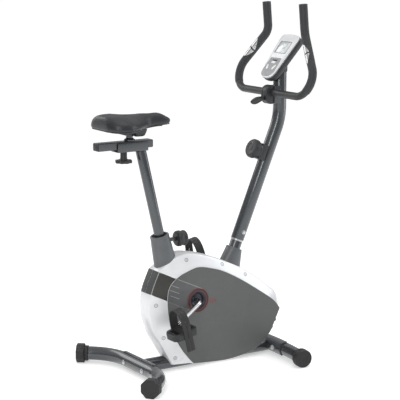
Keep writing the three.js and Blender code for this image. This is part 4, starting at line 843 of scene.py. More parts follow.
# Stations from the seam to the flat: y, how far out of the rim, and the share of the way to the panel.
COVER_STATIONS = [(0.2, 2.2, 0.0), (1.0, 3.0, 0.0), (9.0, 2.8, 0.0), (17.5, 2.25, 0.0), (26.0, 1.4, 0.0),
                  (32.0, 0.5, 0.0), (34.6, -0.3, 0.01), (36.2, -0.6, 0.06), (40.0, -0.4, 0.27),
                  (44.5, 0.0, 0.52), (49.0, 0.3, 0.78), (51.9, 0.2, 0.95), (52.9, 0.0, 1.0)]


def skin_point(side, angle, station, lift=0.0):
    """A point of the cover's skin; station may lie between two of the listed ones."""
    whole = min(int(station), len(COVER_STATIONS) - 2)
    part = station - whole
    low, high = COVER_STATIONS[whole], COVER_STATIONS[whole + 1]
    y, out, share = [a + (b - a) * part for a, b in zip(low, high)]
    rim = reach_of(RIM_OUTLINE, angle)
    far = rim + (reach_of(PANEL_OUTLINE, angle) - rim) * share + out
    if share > 0:
        y += lift * 0.8
        far += lift * 0.6
    else:
        far += lift
    return mm(COVER_MIDDLE.x + far * cos(angle), side * y, COVER_MIDDLE.y + far * sin(angle))


CRANK = Vector((-41.0, 260.0))


def crank_ring(radius, y):
    return [mm(CRANK.x + p.x, y, CRANK.y + p.y) for p in circle(radius, 64)]


SEAM_REACH = 0.0004
ENTRY_RADIUS = 0.026
ENTRY_ABOVE = 0.33
CRANK_LIP_Y = 0.046
CRANK_HOLE_R = 35.2
COVER_WALL = 0.0022


def hollow_out(shell, side):
    """Opens a cover at the seam and where the seat tube passes in, and gives it a thin wall."""
    made = bmesh.new()
    made.from_mesh(shell.data)
    seam = [face for face in made.faces if all(abs(corner.co.y) < SEAM_REACH for corner in face.verts)]
    bmesh.ops.delete(made, geom=seam, context="FACES")
    foot = seat_at(350) / 1000
    entry = []
    for face in made.faces:
        off = [(corner.co - foot).cross(seat_up.normalized()).length for corner in face.verts]
        if min(off) < ENTRY_RADIUS and face.verts[0].co.z > ENTRY_ABOVE:
            entry.append(face)
    bmesh.ops.delete(made, geom=entry, context="FACES")
    for corner in made.verts:
        from_crank = (Vector((corner.co.x, corner.co.z)) - CRANK / 1000).length
        if abs(corner.co.y) < SEAM_REACH and from_crank < CRANK_HOLE_R / 1000 + 0.0008:
            corner.co.y = side * CRANK_LIP_Y
    made.to_mesh(shell.data)
    made.free()
    wall = shell.modifiers.new("wall", "SOLIDIFY")
    wall.thickness = COVER_WALL
    wall.offset = -1
    apply_modifiers(shell)
    shell.data.shade_smooth()
    shell.data.set_sharp_from_angle(angle=radians(28))
    print(shell.name, "opened:", len(seam), "seam faces and", len(entry), "at the seat tube")


for side_name, side in (("right", -1), ("left", 1)):
    rings = [[skin_point(side, 2 * pi * k / COVER_SIDES, station) for k in range(COVER_SIDES)]
             for station in range(len(COVER_STATIONS))]
    wall = [crank_ring(CRANK_HOLE_R, side * 0.3), crank_ring(CRANK_HOLE_R, side * 52.9)]
    shell = sheet_with_holes(f"{side_name}_cover_shell", rings, [wall], crease=28)
    hollow_out(shell, side)
    dress(shell, "frame", "cover_silver", cover_silver, f"{side_name}_cover")
print("cover shells:", COVER_SIDES, "sides")

# %% [markdown]
# The flat panel is a separate grey moulding that clips over the shell. It has a raised border, so its
# edge is drawn with a small step. The ring round the crank is another insert, red and dark, with a
# conical recess that hides the bearing.


# %% Side panels
def flat_ring(outline_gap, y):
    """The panel's outline drawn in by a gap, at one distance from the middle plane."""
    ring = []
    for k in range(COVER_SIDES):
        angle = 2 * pi * k / COVER_SIDES
        far = reach_of(PANEL_OUTLINE, angle) - outline_gap
        ring.append(mm(COVER_MIDDLE.x + far * cos(angle), y, COVER_MIDDLE.y + far * sin(angle)))
    return ring


SURROUND_PROFILE = [(45, 55.6), (45, 57.0), (42, 57.5), (39, 57.1), (36, 57.3), (34, 56.0), (34, 54.5)]
RECESS_PROFILE = [(34.6, 56.6), (31, 55.4), (26, 51.0), (23, 44.0), (14, 40.0), (8.2, 39.0)]
for side_name, side in (("right", -1), ("left", 1)):
    rings = [flat_ring(gap, side * y)
             for gap, y in ((1.5, 53.3), (1.5, 55.0), (1.9, 55.8), (2.7, 56.2), (3.6, 56.3))]
    hole = [crank_ring(35, side * 53.3), crank_ring(35, side * 56.3)]
    dress(sheet_with_holes(f"{side_name}_panel_plate", rings, [hole]), "frame", "panel_grey", panel_grey,
          f"{side_name}_side_panel")
    at_crank = turned_to(mm(CRANK.x, 0, CRANK.y), mm(0, side, 0))
    maroon = lathe(f"{side_name}_crank_surround", SURROUND_PROFILE, at_crank, 0.4, 72)
    dress(maroon, "frame", "panel_grey", ring_maroon)
    for number, radius in enumerate((44.2, 35.6)):
        line = lathe(f"{side_name}_crank_red_line_{number + 1}",
                     [(radius - 0.9, 57.0), (radius - 0.6, 57.8), (radius + 0.6, 57.8), (radius + 0.9, 57.0)],
                     at_crank, 0.2, 72)
        dress(line, "frame", "panel_grey", mark_red)
    cone = lathe(f"{side_name}_crank_recess", RECESS_PROFILE, at_crank, 1.0, 64)
    dress(cone, "frame", "black_plastic", recess_navy)


# %% [markdown]
# The dark wedge looks like a fin that runs from the crank over the sloped band and round the back. On the
# real covers it is a printed insert. Here it is a patch of the same skin lifted by a fraction of a
# millimetre, so that it follows each curve under it. Its part on the sloped band is painted darker than its
# part on the wall, as painted shade for a band that faces away from the light, and a thin silver strip
# between the two is a painted highlight along the rim's edge.

# %% Wedge patches on the sloped band and the rear wall
def angle_of(x, z):
    return atan2(z - COVER_MIDDLE.y, x - COVER_MIDDLE.x)


PANEL_WEDGE = (angle_of(-130, 351), angle_of(-171, 272))
RIM_WEDGE = (angle_of(-197, 382), angle_of(-235, 303))


def skin_patch(name, side, start, end, first, last, lift, thick=0.5, across=14, along=10):
    """A thin patch of skin between two stations; first and last are its pairs of angles there."""
    rows = []
    for level in (lift - thick, lift):
        for row in range(along + 1):
            t = row / along
            low = first[0] + (last[0] - first[0]) * t
            high = first[1] + (last[1] - first[1]) * t
            rows.append([skin_point(side, low + (high - low) * k / across, start + (end - start) * t, level)
                         for k in range(across + 1)])
    half = along + 1
    width = across + 1
    corners = [corner for row in rows for corner in row]
    faces = []
    for level in (0, 1):
        for row in range(along):
            for k in range(across):
                a = (level * half + row) * width + k
                faces.append((a, a + 1, a + 1 + width, a + width))
    rim = ([(0, k) for k in range(across + 1)] + [(row, across) for row in range(1, along + 1)]
           + [(along, k) for k in range(across - 1, -1, -1)] + [(row, 0) for row in range(along - 1, 0, -1)])
    for (r0, k0), (r1, k1) in zip(rim, rim[1:] + rim[:1]):
        faces.append((r0 * width + k0, r1 * width + k1, (half + r1) * width + k1, (half + r0) * width + k0))
    return add_mesh(name, corners, faces, 30)


for side_name, side in (("right", -1), ("left", 1)):
    # The band's part of the wedge takes the darker tone, which is painted shade.
    ramp = skin_patch(f"{side_name}_wedge_ramp", side, 7.0, 12.0, RIM_WEDGE, PANEL_WEDGE, 0.5)
    dress(ramp, "frame", "panel_grey", ramp_shade_grey)
    rear = skin_patch(f"{side_name}_wedge_rear", side, 0.5, 6.4, RIM_WEDGE, RIM_WEDGE, 0.5)
    dress(rear, "frame", "panel_grey", wall_grey)
    # A thin silver strip along the rim, between the wall and the band: a painted highlight on the rim's edge.
    rim_edge_highlight = skin_patch(f"{side_name}_wedge_rim_highlight", side, 6.4, 7.0, RIM_WEDGE, RIM_WEDGE, 0.55)
    dress(rim_edge_highlight, "frame", "panel_grey", line_silver)
    lines = []
    for stripe in range(7):
        middle = RIM_WEDGE[0] + (RIM_WEDGE[1] - RIM_WEDGE[0]) * (stripe + 1) / 8
        pair = (middle - 0.0022, middle + 0.0022)
        lines.append(skin_patch("stripe", side, 1.0, 5.8, pair, pair, 0.85, across=2))
    dress(joined(f"{side_name}_wedge_stripes", *lines), "frame", "panel_grey", stripe_grey)


# %% The wedge on the flat panel, its outline and grooves
def on_side(side, y):
    """A placing for flat marks: local x is the bike's x, local y its z, and local z points outwards."""
    return Matrix(((1, 0, 0, 0), (0, 0, side, side * y), (0, 1, 0, 0), (0, 0, 0, 1)))


def stroke(name, side, start, end, width, y=56.2, thick=0.45):
    """A thin raised line on the panel."""
    start, end = Vector(start), Vector(end)
    along = (end - start).normalized()
    square = Vector((-along.y, along.x)) * width / 2
    outline = [start - square, end - square, end + square, start + square]
    return slab(name, outline, thick, on_side(side, y), 0.1)


wedge_border = []
for k in range(13):
    angle = PANEL_WEDGE[0] + (PANEL_WEDGE[1] - PANEL_WEDGE[0]) * k / 12
    far = reach_of(PANEL_OUTLINE, angle) - 4.5
    wedge_border.append(COVER_MIDDLE + Vector((cos(angle), sin(angle))) * far)
ring_top = Vector((-22.0, 300.8))
ring_low = Vector((-60.5, 219.4))
arc_back = [CRANK + Vector((45 * cos(radians(a)), 45 * sin(radians(a)))) for a in range(236, 64, -12)]
for side_name, side in (("right", -1), ("left", 1)):
    face = slab(f"{side_name}_wedge_face", [ring_top] + wedge_border + [ring_low] + arc_back, 0.35,
                on_side(side, 56.15), 0.1)
    dress(face, "frame", "panel_grey", insert_grey)
    marks = [stroke("upper_line", side, ring_top, wedge_border[0], 1.5),
             stroke("lower_line", side, ring_low, wedge_border[-1], 0.5)]
    for groove in range(3):
        z = 333 - 20 * groove
        marks.append(stroke("groove", side, (-160, z), (-122, z - 17), 1.3))
    dress(joined(f"{side_name}_panel_lines", *marks), "frame", "panel_grey", line_silver)
    chevrons = []
    for k in range(3):
        x = 8 + 10 * k
        outline = [(x, 258), (x + 3, 258), (x + 9, 250), (x + 3, 242), (x, 242), (x + 5, 250)]
        chevrons.append(slab("chevron", outline, 0.5, on_side(side, 56.2), 0.1))
    dress(joined(f"{side_name}_panel_chevrons", *chevrons), "frame", "panel_grey", mark_red)

# %% [markdown]
# Six screws hold each half of the cover, sunk in small round wells, and two clips hook the panel at the
# front. The screws and their wells are steel painted darker, as painted shade in the wells.

# %% Cover screws and panel clips
SCREW_STATION = 8.4
WELL_PROFILE = [(0, -0.2), (5.2, -0.2), (5.4, 0.5), (7.0, 0.6), (7.4, -0.6)]
SCREW_PLACES = [(-85, 417), (73, 376), (177, 328), (-228, 263), (-187, 133), (-115, 65)]
for side_name, side in (("right", -1), ("left", 1)):
    screws = []
    for x, z in SCREW_PLACES:
        angle = angle_of(x, z)
        here = skin_point(side, angle, SCREW_STATION)
        slope = skin_point(side, angle, SCREW_STATION + 1) - skin_point(side, angle, SCREW_STATION - 0.5)
        along = skin_point(side, angle + 0.02, SCREW_STATION) - skin_point(side, angle - 0.02, SCREW_STATION)
        out = slope.normalized().cross(along.normalized())
        if out.y * side < 0:
            out = -out
        seat = turned_to(here, out)
        screws.append(lathe("well", WELL_PROFILE, seat, 0.3, 32))
        for quarter in around(seat, 4)[:2]:
            screws.append(slab("slot", oblong(2.6, 0.5, 0.3, 2), 0.5, quarter, 0.1))
    # The screws and wells take the darkened steel: painted shade of the wells.
    dress(joined(f"{side_name}_cover_screws", *screws), "frame", "zinc", screw_steel_well_shade)
    clips = [slab("clip", oblong(5, 3, 1.2, 3), 2.4, on_side(side, 53.6) @ moved(x, z, 0)
                  @ Matrix.Rotation(radians(60), 4, "Z"), 0.6) for x, z in ((306, 137), (291, 110))]
    dress(joined(f"{side_name}_panel_clips", *clips), "frame", "black_plastic", black_plastic)
print("covers dressed")

# %% [markdown]
# ## Crank and pedals
# The crank is one forged bar, bent twice, chromed, with a shallow channel down each arm. The channel is
# part of the swept section, so the highlight breaks along it as on the real forging.

# %% Crank
CRANK_DROP = radians(34)
ARM = 150.0


def arm_end(side):
    return mm(CRANK.x + side * ARM * cos(CRANK_DROP), side * 84, CRANK.y + side * ARM * sin(CRANK_DROP))


def channelled_bar(radius):
    """A round section with a shallow channel on its two wide sides."""
    section = []
    for k in range(48):
        a = 2 * pi * k / 48
        dent = 1.7 * max(0.0, 1 - (abs(sin(a)) / 0.42) ** 2) ** 0.6 if abs(sin(a)) < 0.42 else 0.0
        section.append(((radius - dent) * cos(a), (radius - 0.2) * sin(a) * 1.02))
    return section


AXLE_BEND_Y = 78
EYE_PROFILE = [(0, 82.5), (11.5, 82.5), (12.5, 83.5), (12.5, 95.5), (11.5, 96.5), (0, 96.5)]
SPINDLE_PROFILE = [(0, 90), (8.0, 90), (8.0, 99.5), (5.5, 100.2), (5.5, 178.4), (4.5, 179), (0, 179)]
axle_bends = [mm(CRANK.x, y, CRANK.y) for y in (-AXLE_BEND_Y, AXLE_BEND_Y)]
crank_path = bend_path([arm_end(-1), *axle_bends, arm_end(1)], [20, 20])
crank_parts = [sweep("bar", crank_path, channelled_bar(7.5), up=(0.3, 0, 1), lip=0.8)]
for side in (1, -1):
    end = arm_end(side)
    outwards = turned_to(mm(end.x, 0, end.z), mm(0, side, 0))
    crank_parts.append(lathe("eye", EYE_PROFILE, outwards, 1.0, 40))
    crank_parts.append(lathe("spindle", SPINDLE_PROFILE, outwards, 0.6, 32))
dress(joined("crank_forging", *crank_parts), "crank_set", "chrome", chrome, "crank")

# %% Pedals
PEDAL_TILT = radians(-13)
PEDAL_OUTLINE = soften([(-50, 119), (-36, 101), (36, 101), (50, 119), (50, 167), (36, 185), (-36, 185),
                        (-50, 167)], 4, closed=True, steps=3)


def pedal_place(side):
    """A placing for pedal pieces: local y points away from the bike on either side."""
    end = arm_end(side)
    return (moved(end.x, 0, end.z) @ Matrix.Rotation(PEDAL_TILT, 4, "Y")
            @ Matrix.Diagonal((1, side, 1, 1)))


for side_name, side in (("right", -1), ("left", 1)):
    place = pedal_place(side)

    def lifted(outline, z, shrink=0.0):
        middle = Vector((0, 143))
        return [place @ Vector((*(p + (middle - p).normalized() * shrink), z)) for p in outline]

    outer = [lifted(PEDAL_OUTLINE, z, shrink)
             for z, shrink in ((-12, 1.6), (-11, 0.3), (-9, 0.0), (9, 0.0), (11, 0.3), (12, 1.6))]
    windows = []
    for middle_x in (-27, 27):
        window = [Vector((middle_x + p.x, 143 + p.y)) for p in oblong(8.5, 26, 3, 3)]
        windows.append([lifted(window, -12), lifted(window, 12)])
    parts = [sheet_with_holes("frame", outer, windows)]
    for x in (-45, -40, -14, -7, 7, 14, 40, 45):
        width = 22 if abs(x) > 42 else 33
        teeth = []
        for k in range(9):
            y = 143 + (k - 4) * width / 4.5
            teeth += [(y - 1.6, 0), (y - 1.0, 2.4), (y + 1.0, 2.4), (y + 1.6, 0)]
        profile = [(143 - width, -1.5)] + teeth + [(143 + width, -1.5)]
        for face in (1, -1):
            upright = Matrix(((0, 0, 1, x - 1.2), (1, 0, 0, 0), (0, face, 0, face * 11.6), (0, 0, 0, 1)))
            parts.append(slab("tread", [Vector(p) for p in profile], 2.4, place @ upright, 0.25))
    for bar_y in (128, 143, 158):
        for middle_x in (-27, 27):
            cross = place @ moved(middle_x, bar_y, -4)
            parts.append(slab("cross_bar", oblong(9, 1.6, 0.6, 2), 8, cross, 0.4))
    for end_x in (-50, 50):
        reflector = (place @ moved(end_x, 143, 0) @ Matrix.Rotation(pi / 2, 4, "Y")
                     @ moved(0, 0, -0.9))
        parts.append(slab("end_plate", oblong(6.5, 19, 2, 3), 1.8, reflector, 0.4))
    dress(joined(f"{side_name}_pedal_tread", *parts), f"{side_name}_pedal_set", "black_plastic", black_plastic,
          f"{side_name}_pedal")

# %% [markdown]
# The strap is a moulded rubber band. Along its outer run it has a row of adjusting holes, and the holes
# are real openings: each cell of the band is a ring of small faces round an octagon.


# %% Punched straps
def bezier(p0, p1, p2, p3, steps=14):
    points = []
    for k in range(steps):
        t = k / steps
        points.append(Vector(p0) * (1 - t) ** 3 + Vector(p1) * 3 * t * (1 - t) ** 2
                      + Vector(p2) * 3 * t * t * (1 - t) + Vector(p3) * t ** 3)
    return points


def strap_line(rise):
    """The middle line of a strap in local y and z, from its loose end over the shoe to the inner side."""
    out, inn, half = 185.3 + 1.6, 100.7 - 1.6, 143.0
    line = [Vector((out, -60)).lerp(Vector((out, 14)), k / 8) for k in range(8)]
    line += bezier((out, 14), (out + 4, rise * 0.88), (half + 21, rise - 1.6), (half, rise - 1.6))
    line += bezier((half, rise - 1.6), (half - 25, rise - 1.6), (inn, rise * 0.71), (inn, 22))
    return line + [Vector((inn, 22)), Vector((inn, -12))]


def punched_band(name, line, half_width, thick, pitch, hole_r, holed_from, holed_to, place):
    """A band along a line in local y and z, with a round hole in each cell of one stretch."""
    length = path_length(line)
    cells = int(length / pitch)

    def at(s, x, level):
        run = stretch(line, max(0.0, min(s, length - 0.02)), length)
        here, ahead = run[0], run[1]
        along = (ahead - here).normalized()
        square = Vector((along.y, -along.x))
        point = here + square * level
        return place @ Vector((x, point.x, point.y))

    corners, faces = [], []
    for cell in range(cells):
        s0, s1 = cell * length / cells, (cell + 1) * length / cells
        sm = (s0 + s1) / 2
        square = [(s0, -1), (sm, -1), (s1, -1), (s1, 0), (s1, 1), (sm, 1), (s0, 1), (s0, 0)]
        holed = holed_from <= sm <= holed_to
        rings = []
        for level in (-thick / 2, thick / 2):
            outer = [at(s, x * half_width, level) for s, x in square]
            inner = [at(sm + hole_r * cos(a), hole_r * sin(a), level)
                     for a in [pi + pi / 4 + pi / 4 * k for k in range(8)]]
            rings.append((outer, inner))
        base = len(corners)
        for outer, inner in rings:
            corners += outer + inner
        for level in (0, 16):
            if holed:
                for k in range(8):
                    after = (k + 1) % 8
                    faces.append((base + level + k, base + level + after, base + level + 8 + after,
                                  base + level + 8 + k))
            else:
                faces.append(tuple(base + level + k for k in range(8)))
        if holed:
            for k in range(8):
                after = (k + 1) % 8
                faces.append((base + 8 + k, base + 8 + after, base + 24 + after, base + 24 + k))
        for k in (0, 1, 4, 5):
            faces.append((base + k, base + k + 1, base + 16 + k + 1, base + 16 + k))
        if cell == 0:
            faces += [(base + 6, base + 7, base + 23, base + 22), (base + 7, base, base + 16, base + 23)]
        if cell == cells - 1:
            faces += [(base + 2, base + 3, base + 19, base + 18), (base + 3, base + 4, base + 20, base + 19)]
    return add_mesh(name, corners, faces, 50)


for side_name, side, rise in (("right", -1, 92), ("left", 1, 104)):
    place = pedal_place(side)
    band = punched_band("band", strap_line(rise), 15.2, 2.8, 8.2, 2.3, 4, 118, place)
    parts = [band]
    for edge_x in (-14.4, 14.4):
        rail = [place @ Vector((edge_x, p.x, p.y)) for p in strap_line(rise)]
        flat = place.to_3x3() @ Vector((1, 0, 0))
        parts.append(sweep("rail", rail, oblong(1.1, 2.1, 0.7, 2), up=flat, lip=0.5))
    dress(joined(f"{side_name}_strap_band", *parts), f"{side_name}_pedal_set", "rubber", rubber,
          f"{side_name}_pedal_strap")
print("crank, pedals and straps made")

# %% [markdown]
# ## Saddle slide
# The post carries an open channel, a square bar slides in it, and a lobed knob from below clamps the bar.
# The channel is folded sheet, so its section is drawn with a wall and softened bends; the bar is a box
# tube with a plastic cap in each end.

# %% Channel and bar
ALONG_X = Matrix(((0, 0, 1, 0), (1, 0, 0, 0), (0, 1, 0, 0), (0, 0, 0, 1)))
u_section = [(-26, 858), (-26, 825), (26, 825), (26, 858), (23, 858), (23, 828), (-23, 828), (-23, 858)]
channel = slab("slide_channel", soften(u_section, 2.0, closed=True, steps=3), 122,
               moved(-352, 0, 0) @ ALONG_X, 0.5)
dress(channel, "seat_post_set", "frame_paint", gunmetal, "slider_channel")
liner_section = [(-22.7, 856), (-22.7, 829), (-19.4, 829), (-19.4, 856)]
liners = [slab("liner", soften([(side * y, z) for y, z in liner_section], 0.6, closed=True, steps=2), 116,
               moved(-349, 0, 0) @ ALONG_X, 0.3) for side in (1, -1)]
dress(joined("channel_liners", *liners), "seat_post_set", "black_plastic", black_plastic)
bar_outline = [p + Vector((0, 848)) for p in oblong(19, 14, 3, 4)]
dress(slab("slide_bar", bar_outline, 218, moved(-426, 0, 0) @ ALONG_X, 0.4), "saddle_set",
      "frame_paint", gunmetal, "slider_bar")
caps = []
for x, facing in ((-426, -1), (-208, 1)):
    face = Matrix.Translation((x + (0 if facing > 0 else -2.4), 0, 848)) @ ALONG_X
    caps.append(slab("cap", oblong(17.8, 12.8, 3, 4), 2.4, face, 1.0))
    caps.append(slab("cap_ring", oblong(11, 7, 2, 4), 3.0 if facing > 0 else 0.6,
                     Matrix.Translation((x + (0 if facing > 0 else -3.0), 0, 848)) @ ALONG_X, 0.2))
dress(joined("slide_bar_caps", *caps), "saddle_set", "black_plastic", black_plastic)
scale_marks = [slab("mark", oblong(0.5, 3.0 if k % 5 else 5.0, 0.3, 2), 0.4,
                    moved(-410 + 8 * k, 0, 861.9), 0.1) for k in range(22)]
dress(joined("slide_scale", *scale_marks), "saddle_set", "chrome", line_silver)



# %% Clamp knob under the channel
def lobed(radius, lobes, depth, steps=8):
    count = lobes * steps
    return [Vector((cos(2 * pi * k / count), sin(2 * pi * k / count)))
            * (radius - depth * (0.5 - 0.5 * cos(lobes * 2 * pi * k / count))) for k in range(count)]


KNOB_X = -316
NECK_PROFILE = [(0, 794), (15, 794), (13, 798), (12, 806), (12, 823.4), (0, 823.6)]
knob_place = moved(KNOB_X, 0, 0)
knob_parts = [slab("disc", lobed(31, 8, 5), 11, moved(KNOB_X, 0, 784), 2.4),
              lathe("neck", NECK_PROFILE, knob_place, 1.0),
              lathe("cap_dish", [(0, 783.4), (14, 783.4), (16, 784.2), (18.5, 784.2)], knob_place, 0.6)]
knob_moulding = joined("clamp_knob_moulding", *knob_parts)
dress(knob_moulding, "saddle_clamp", "black_plastic", black_plastic, "saddle_knob")
print("slide and knob made")

# %% Stem, plate and keel
STEM_X = -292
KEEL_X = -259
STEM_PROFILE = [(0, 862.3), (20, 862.3), (20, 867), (15.5, 869), (12.5, 872.5), (12.5, 896), (0, 896)]
stem = lathe("saddle_stem_turning", STEM_PROFILE, moved(STEM_X, 0, 0), 0.9)
dress(stem, "saddle_set", "frame_paint", gunmetal, "saddle_stem")


def smooth_step(x, start, end):
    """Rises from 0 to 1 between start and end, level at both."""
    t = min(1.0, max(0.0, (x - start) / (end - start)))
    return t * t * (3 - 2 * t)


def saddle_half(share):
    """Half the width of the saddle at a share of its length from the rear."""
    if share < 0.2:
        tail = sqrt(max(0.0, 1 - ((share - 0.2) / 0.2) ** 2))
        return SADDLE_HALF * (0.45 + 0.55 * tail)
    t = min(1.0, max(0.0, (share - 0.24) / 0.48))
    wide = SADDLE_HALF + (NOSE_HALF - SADDLE_HALF) * t * t * (3 - 2 * t)
    if share > 0.9:
        wide *= sqrt(max(0.0, 1 - ((share - 0.9) / 0.115) ** 2))
    return wide


SADDLE_REAR = -414.0
SADDLE_NOSE = -126.0
SADDLE_LENGTH = SADDLE_NOSE - SADDLE_REAR
SADDLE_HALF = 110
NOSE_HALF = 30
SEAM_Z = 904.0


def saddle_ring(margin, height, count=26, lift=None):
    """The saddle's plan outline drawn in by a margin, at a height that may vary along it."""
    ring = []
    shares = [0.5 - 0.5 * cos(pi * k / count) for k in range(count + 1)]
    for side, order in ((-1, shares), (1, list(reversed(shares)))):
        for share in order:
            x = SADDLE_REAR + margin + share * (SADDLE_LENGTH - 2 * margin)
            y = side * max(3.0, saddle_half(share) - margin)
            ring.append(mm(x, y, height + (lift(share) if lift else 0.0)))
    return ring


def seam_height(share):
    """How far the saddle's lower edge rises towards the nose."""
    return 7.0 * smooth_step(share, 0.55, 0.95)


plate_skin = loft("plate", [saddle_ring(margin, z, lift=seam_height)
                            for margin, z in ((33, 897.7), (32, 899), (32, 902.5), (33, 903.6))])
keel_rings = [(15, 18, 8, 876), (19, 24, 10, 879), (23, 29, 12, 889), (26, 33, 14, 901)]
keel = loft("keel", [[mm(x + KEEL_X, y, z) for x, y in oblong(half_x, half_y, radius, 6)]
                     for half_x, half_y, radius, z in keel_rings])
nut_collar = lathe("collar", [(12.9, 886.2), (18, 886.2), (19, 888), (19, 900), (12.9, 900)],
                   moved(STEM_X, 0, 0), 0.8, ring_shaped=True)
ribs = [slab("rib", oblong(1.5, 60, 0.6, 2), 9, moved(x, 0, 890), 0.6) for x in (-340, -318)]
dress(joined("saddle_pan", plate_skin, keel, nut_collar, *ribs), "saddle_set", "black_plastic", black_plastic,
      "saddle_base")

# %% [markdown]
# ## The cushion
# A vinyl cover is stretched over foam and stapled under the pan. What makes it read as soft is that the
# skin is pulled round the foam with no corners at all. A short cloth run does this: the form starts a
# little small, is remeshed evenly and is inflated while its underside is pinned.


# %% Cushion form
def saddle_top(share, across):
    """Height of the cushion above its lower edge."""
    tail = 52 - 6 * smooth_step(share, 0.14, 0.36) + 5 * smooth_step(share, 0.40, 0.68)
    tail -= 20 * smooth_step(share, 0.84, 1.02)
    lobes = 3.0 * (1 - smooth_step(share, 0.22, 0.42)) * sin(pi * min(1.0, abs(across) * 1.25)) ** 2
    channel_reach = smooth_step(share, 0.05, 0.3) * (1 - smooth_step(share, 0.62, 0.85))
    return tail + lobes - 5.5 * channel_reach * max(0.0, 1 - (across / 0.30) ** 2) ** 2


def cushion_form(drawn_in):
    """Rings from the underside, round the edge and over the top to a middle line."""
    count = 26
    levels = ([(12.0, 0.0), (4.0, 1.0), (1.2, 5.0), (0.0, 11.0)]
              + [(None, t) for t in (0.30, 0.55, 0.76, 0.90, 0.97, 1.0)])
    rings = []
    shares = [0.5 - 0.5 * cos(pi * k / count) for k in range(count + 1)]
    for margin, level in levels:
        ring = []
        for side, order in ((-1, shares), (1, list(reversed(shares)))):
            for share in order:
                lower = seam_height(share)
                if margin is not None:
                    inset = margin + drawn_in
                    x = SADDLE_REAR + inset + share * (SADDLE_LENGTH - 2 * inset)
                    y = side * max(2.0, saddle_half(share) - inset)
                    ring.append(mm(x, y, SEAM_Z + lower + level))
                    continue
                reach = cos(level * pi / 2) ** 0.62
                rise = sin(level * pi / 2)
                x = SADDLE_REAR + drawn_in + share * (SADDLE_LENGTH - 2 * drawn_in)
                x += (-250 - x) * (1 - reach) * 0.10
                y = side * max(2.0, saddle_half(share) - drawn_in) * max(0.02, reach)
                top = saddle_top(share, max(0.02, reach)) - drawn_in * 0.7
                ring.append(mm(x, y, SEAM_Z + lower + 11 + max(2.0, top - 11 - lower) * rise))
        rings.append(ring)
    return rings


cushion = loft("saddle_cushion_skin", cushion_form(2.2), crease=180)
even = cushion.modifiers.new("even", "REMESH")
even.mode = "VOXEL"
even.voxel_size = 0.005
apply_modifiers(cushion)
relax = cushion.modifiers.new("relax", "SMOOTH")
relax.factor = 0.5
relax.iterations = 6
apply_modifiers(cushion)
print("cushion form:", len(cushion.data.vertices), "points")

# %% Inflating the cushion
pinned = cushion.vertex_groups.new(name="stapled")
STAPLED_BELOW = 0.9085
LARGEST_MOVE = 0.005
pinned.add([point.index for point in cushion.data.vertices if point.co.z < STAPLED_BELOW], 1.0, "REPLACE")
rest = [point.co.copy() for point in cushion.data.vertices]
cloth = cushion.modifiers.new("vinyl", "CLOTH")
cloth.settings.quality = 6
cloth.settings.mass = 0.25
cloth.settings.tension_stiffness = 22
cloth.settings.compression_stiffness = 22
cloth.settings.bending_stiffness = 1.2
cloth.settings.use_pressure = True
cloth.settings.uniform_pressure_force = 4.0
cloth.settings.vertex_group_mass = "stapled"
cloth.settings.effector_weights.gravity = 0.0
cloth.point_cache.frame_start = 1
cloth.point_cache.frame_end = 20
for moment in range(1, 21):
    scene.frame_set(moment)
apply_modifiers(cushion)
scene.frame_set(1)
for point, start in zip(cushion.data.vertices, rest):
    move = point.co - start
    if move.length > LARGEST_MOVE:
        point.co = start + move.normalized() * LARGEST_MOVE
moves = [1000 * (point.co - start).length for point, start in zip(cushion.data.vertices, rest)]
print("cushion moved, mean and most (mm):", round(sum(moves) / len(moves), 2), round(max(moves), 2))
finer = cushion.modifiers.new("finer", "SUBSURF")
finer.levels = 1
finer.render_levels = 1
apply_modifiers(cushion)
cushion.data.shade_smooth()
dress(cushion, "saddle_set", "vinyl", vinyl, "saddle_cushion")

# %% Edge bead
bead_ring = saddle_ring(6.5, 906.0, lift=seam_height)
bead = sweep("saddle_bead", bead_ring + [bead_ring[0]], circle(1.6, 12), up=(0, 0, 1), capped=False)
dress(bead, "saddle_set", "black_plastic", black_plastic)

# %% [markdown]
# ## Pop pin
# A sprung pin locks the post. Its large knob is pulled forward by hand, so it is waisted and ribbed.

# %% Pop pin
pin_axis = turned_to(mm(seat_at(487).x, 0, 487), mm(1, 0, 0))
GRIP_PROFILE = [(0, 64), (20, 64), (26.5, 66), (29, 71), (29, 80), (26.8, 86), (26.8, 92), (28.8, 97),
                (27.0, 102.5), (19, 104), (16.5, 103), (0, 103)]
pin_parts = [lathe("grip", GRIP_PROFILE, pin_axis, 1.6, 72),
             lathe("stem", [(0, 24.5), (4.4, 24.5), (4.4, 65), (0, 65)], pin_axis, 0.4, 24)]
for spot in around(pin_axis, 18):
    pin_parts.append(slab("rib", oblong(0.7, 1.3, 0.5, 2), 9, spot @ moved(28.6, 0, 71), 0.4))
dress(joined("pop_pin_grip", *pin_parts), "seat_pin", "black_plastic", black_plastic, "pop_pin")
barrel = lathe("pin_barrel_collar", [(7.5, 30), (7.5, 61.6), (6.5, 62.8), (4.9, 62.8)], pin_axis, 0.5, 40)
dress(barrel, "frame", "frame_paint", gunmetal)
print("pop pin made")

# %% [markdown]
# ## Mast
# The mast slips over the stub, so a bright ring shows where the tubes meet, and a bolt with a washer
# clamps the joint.

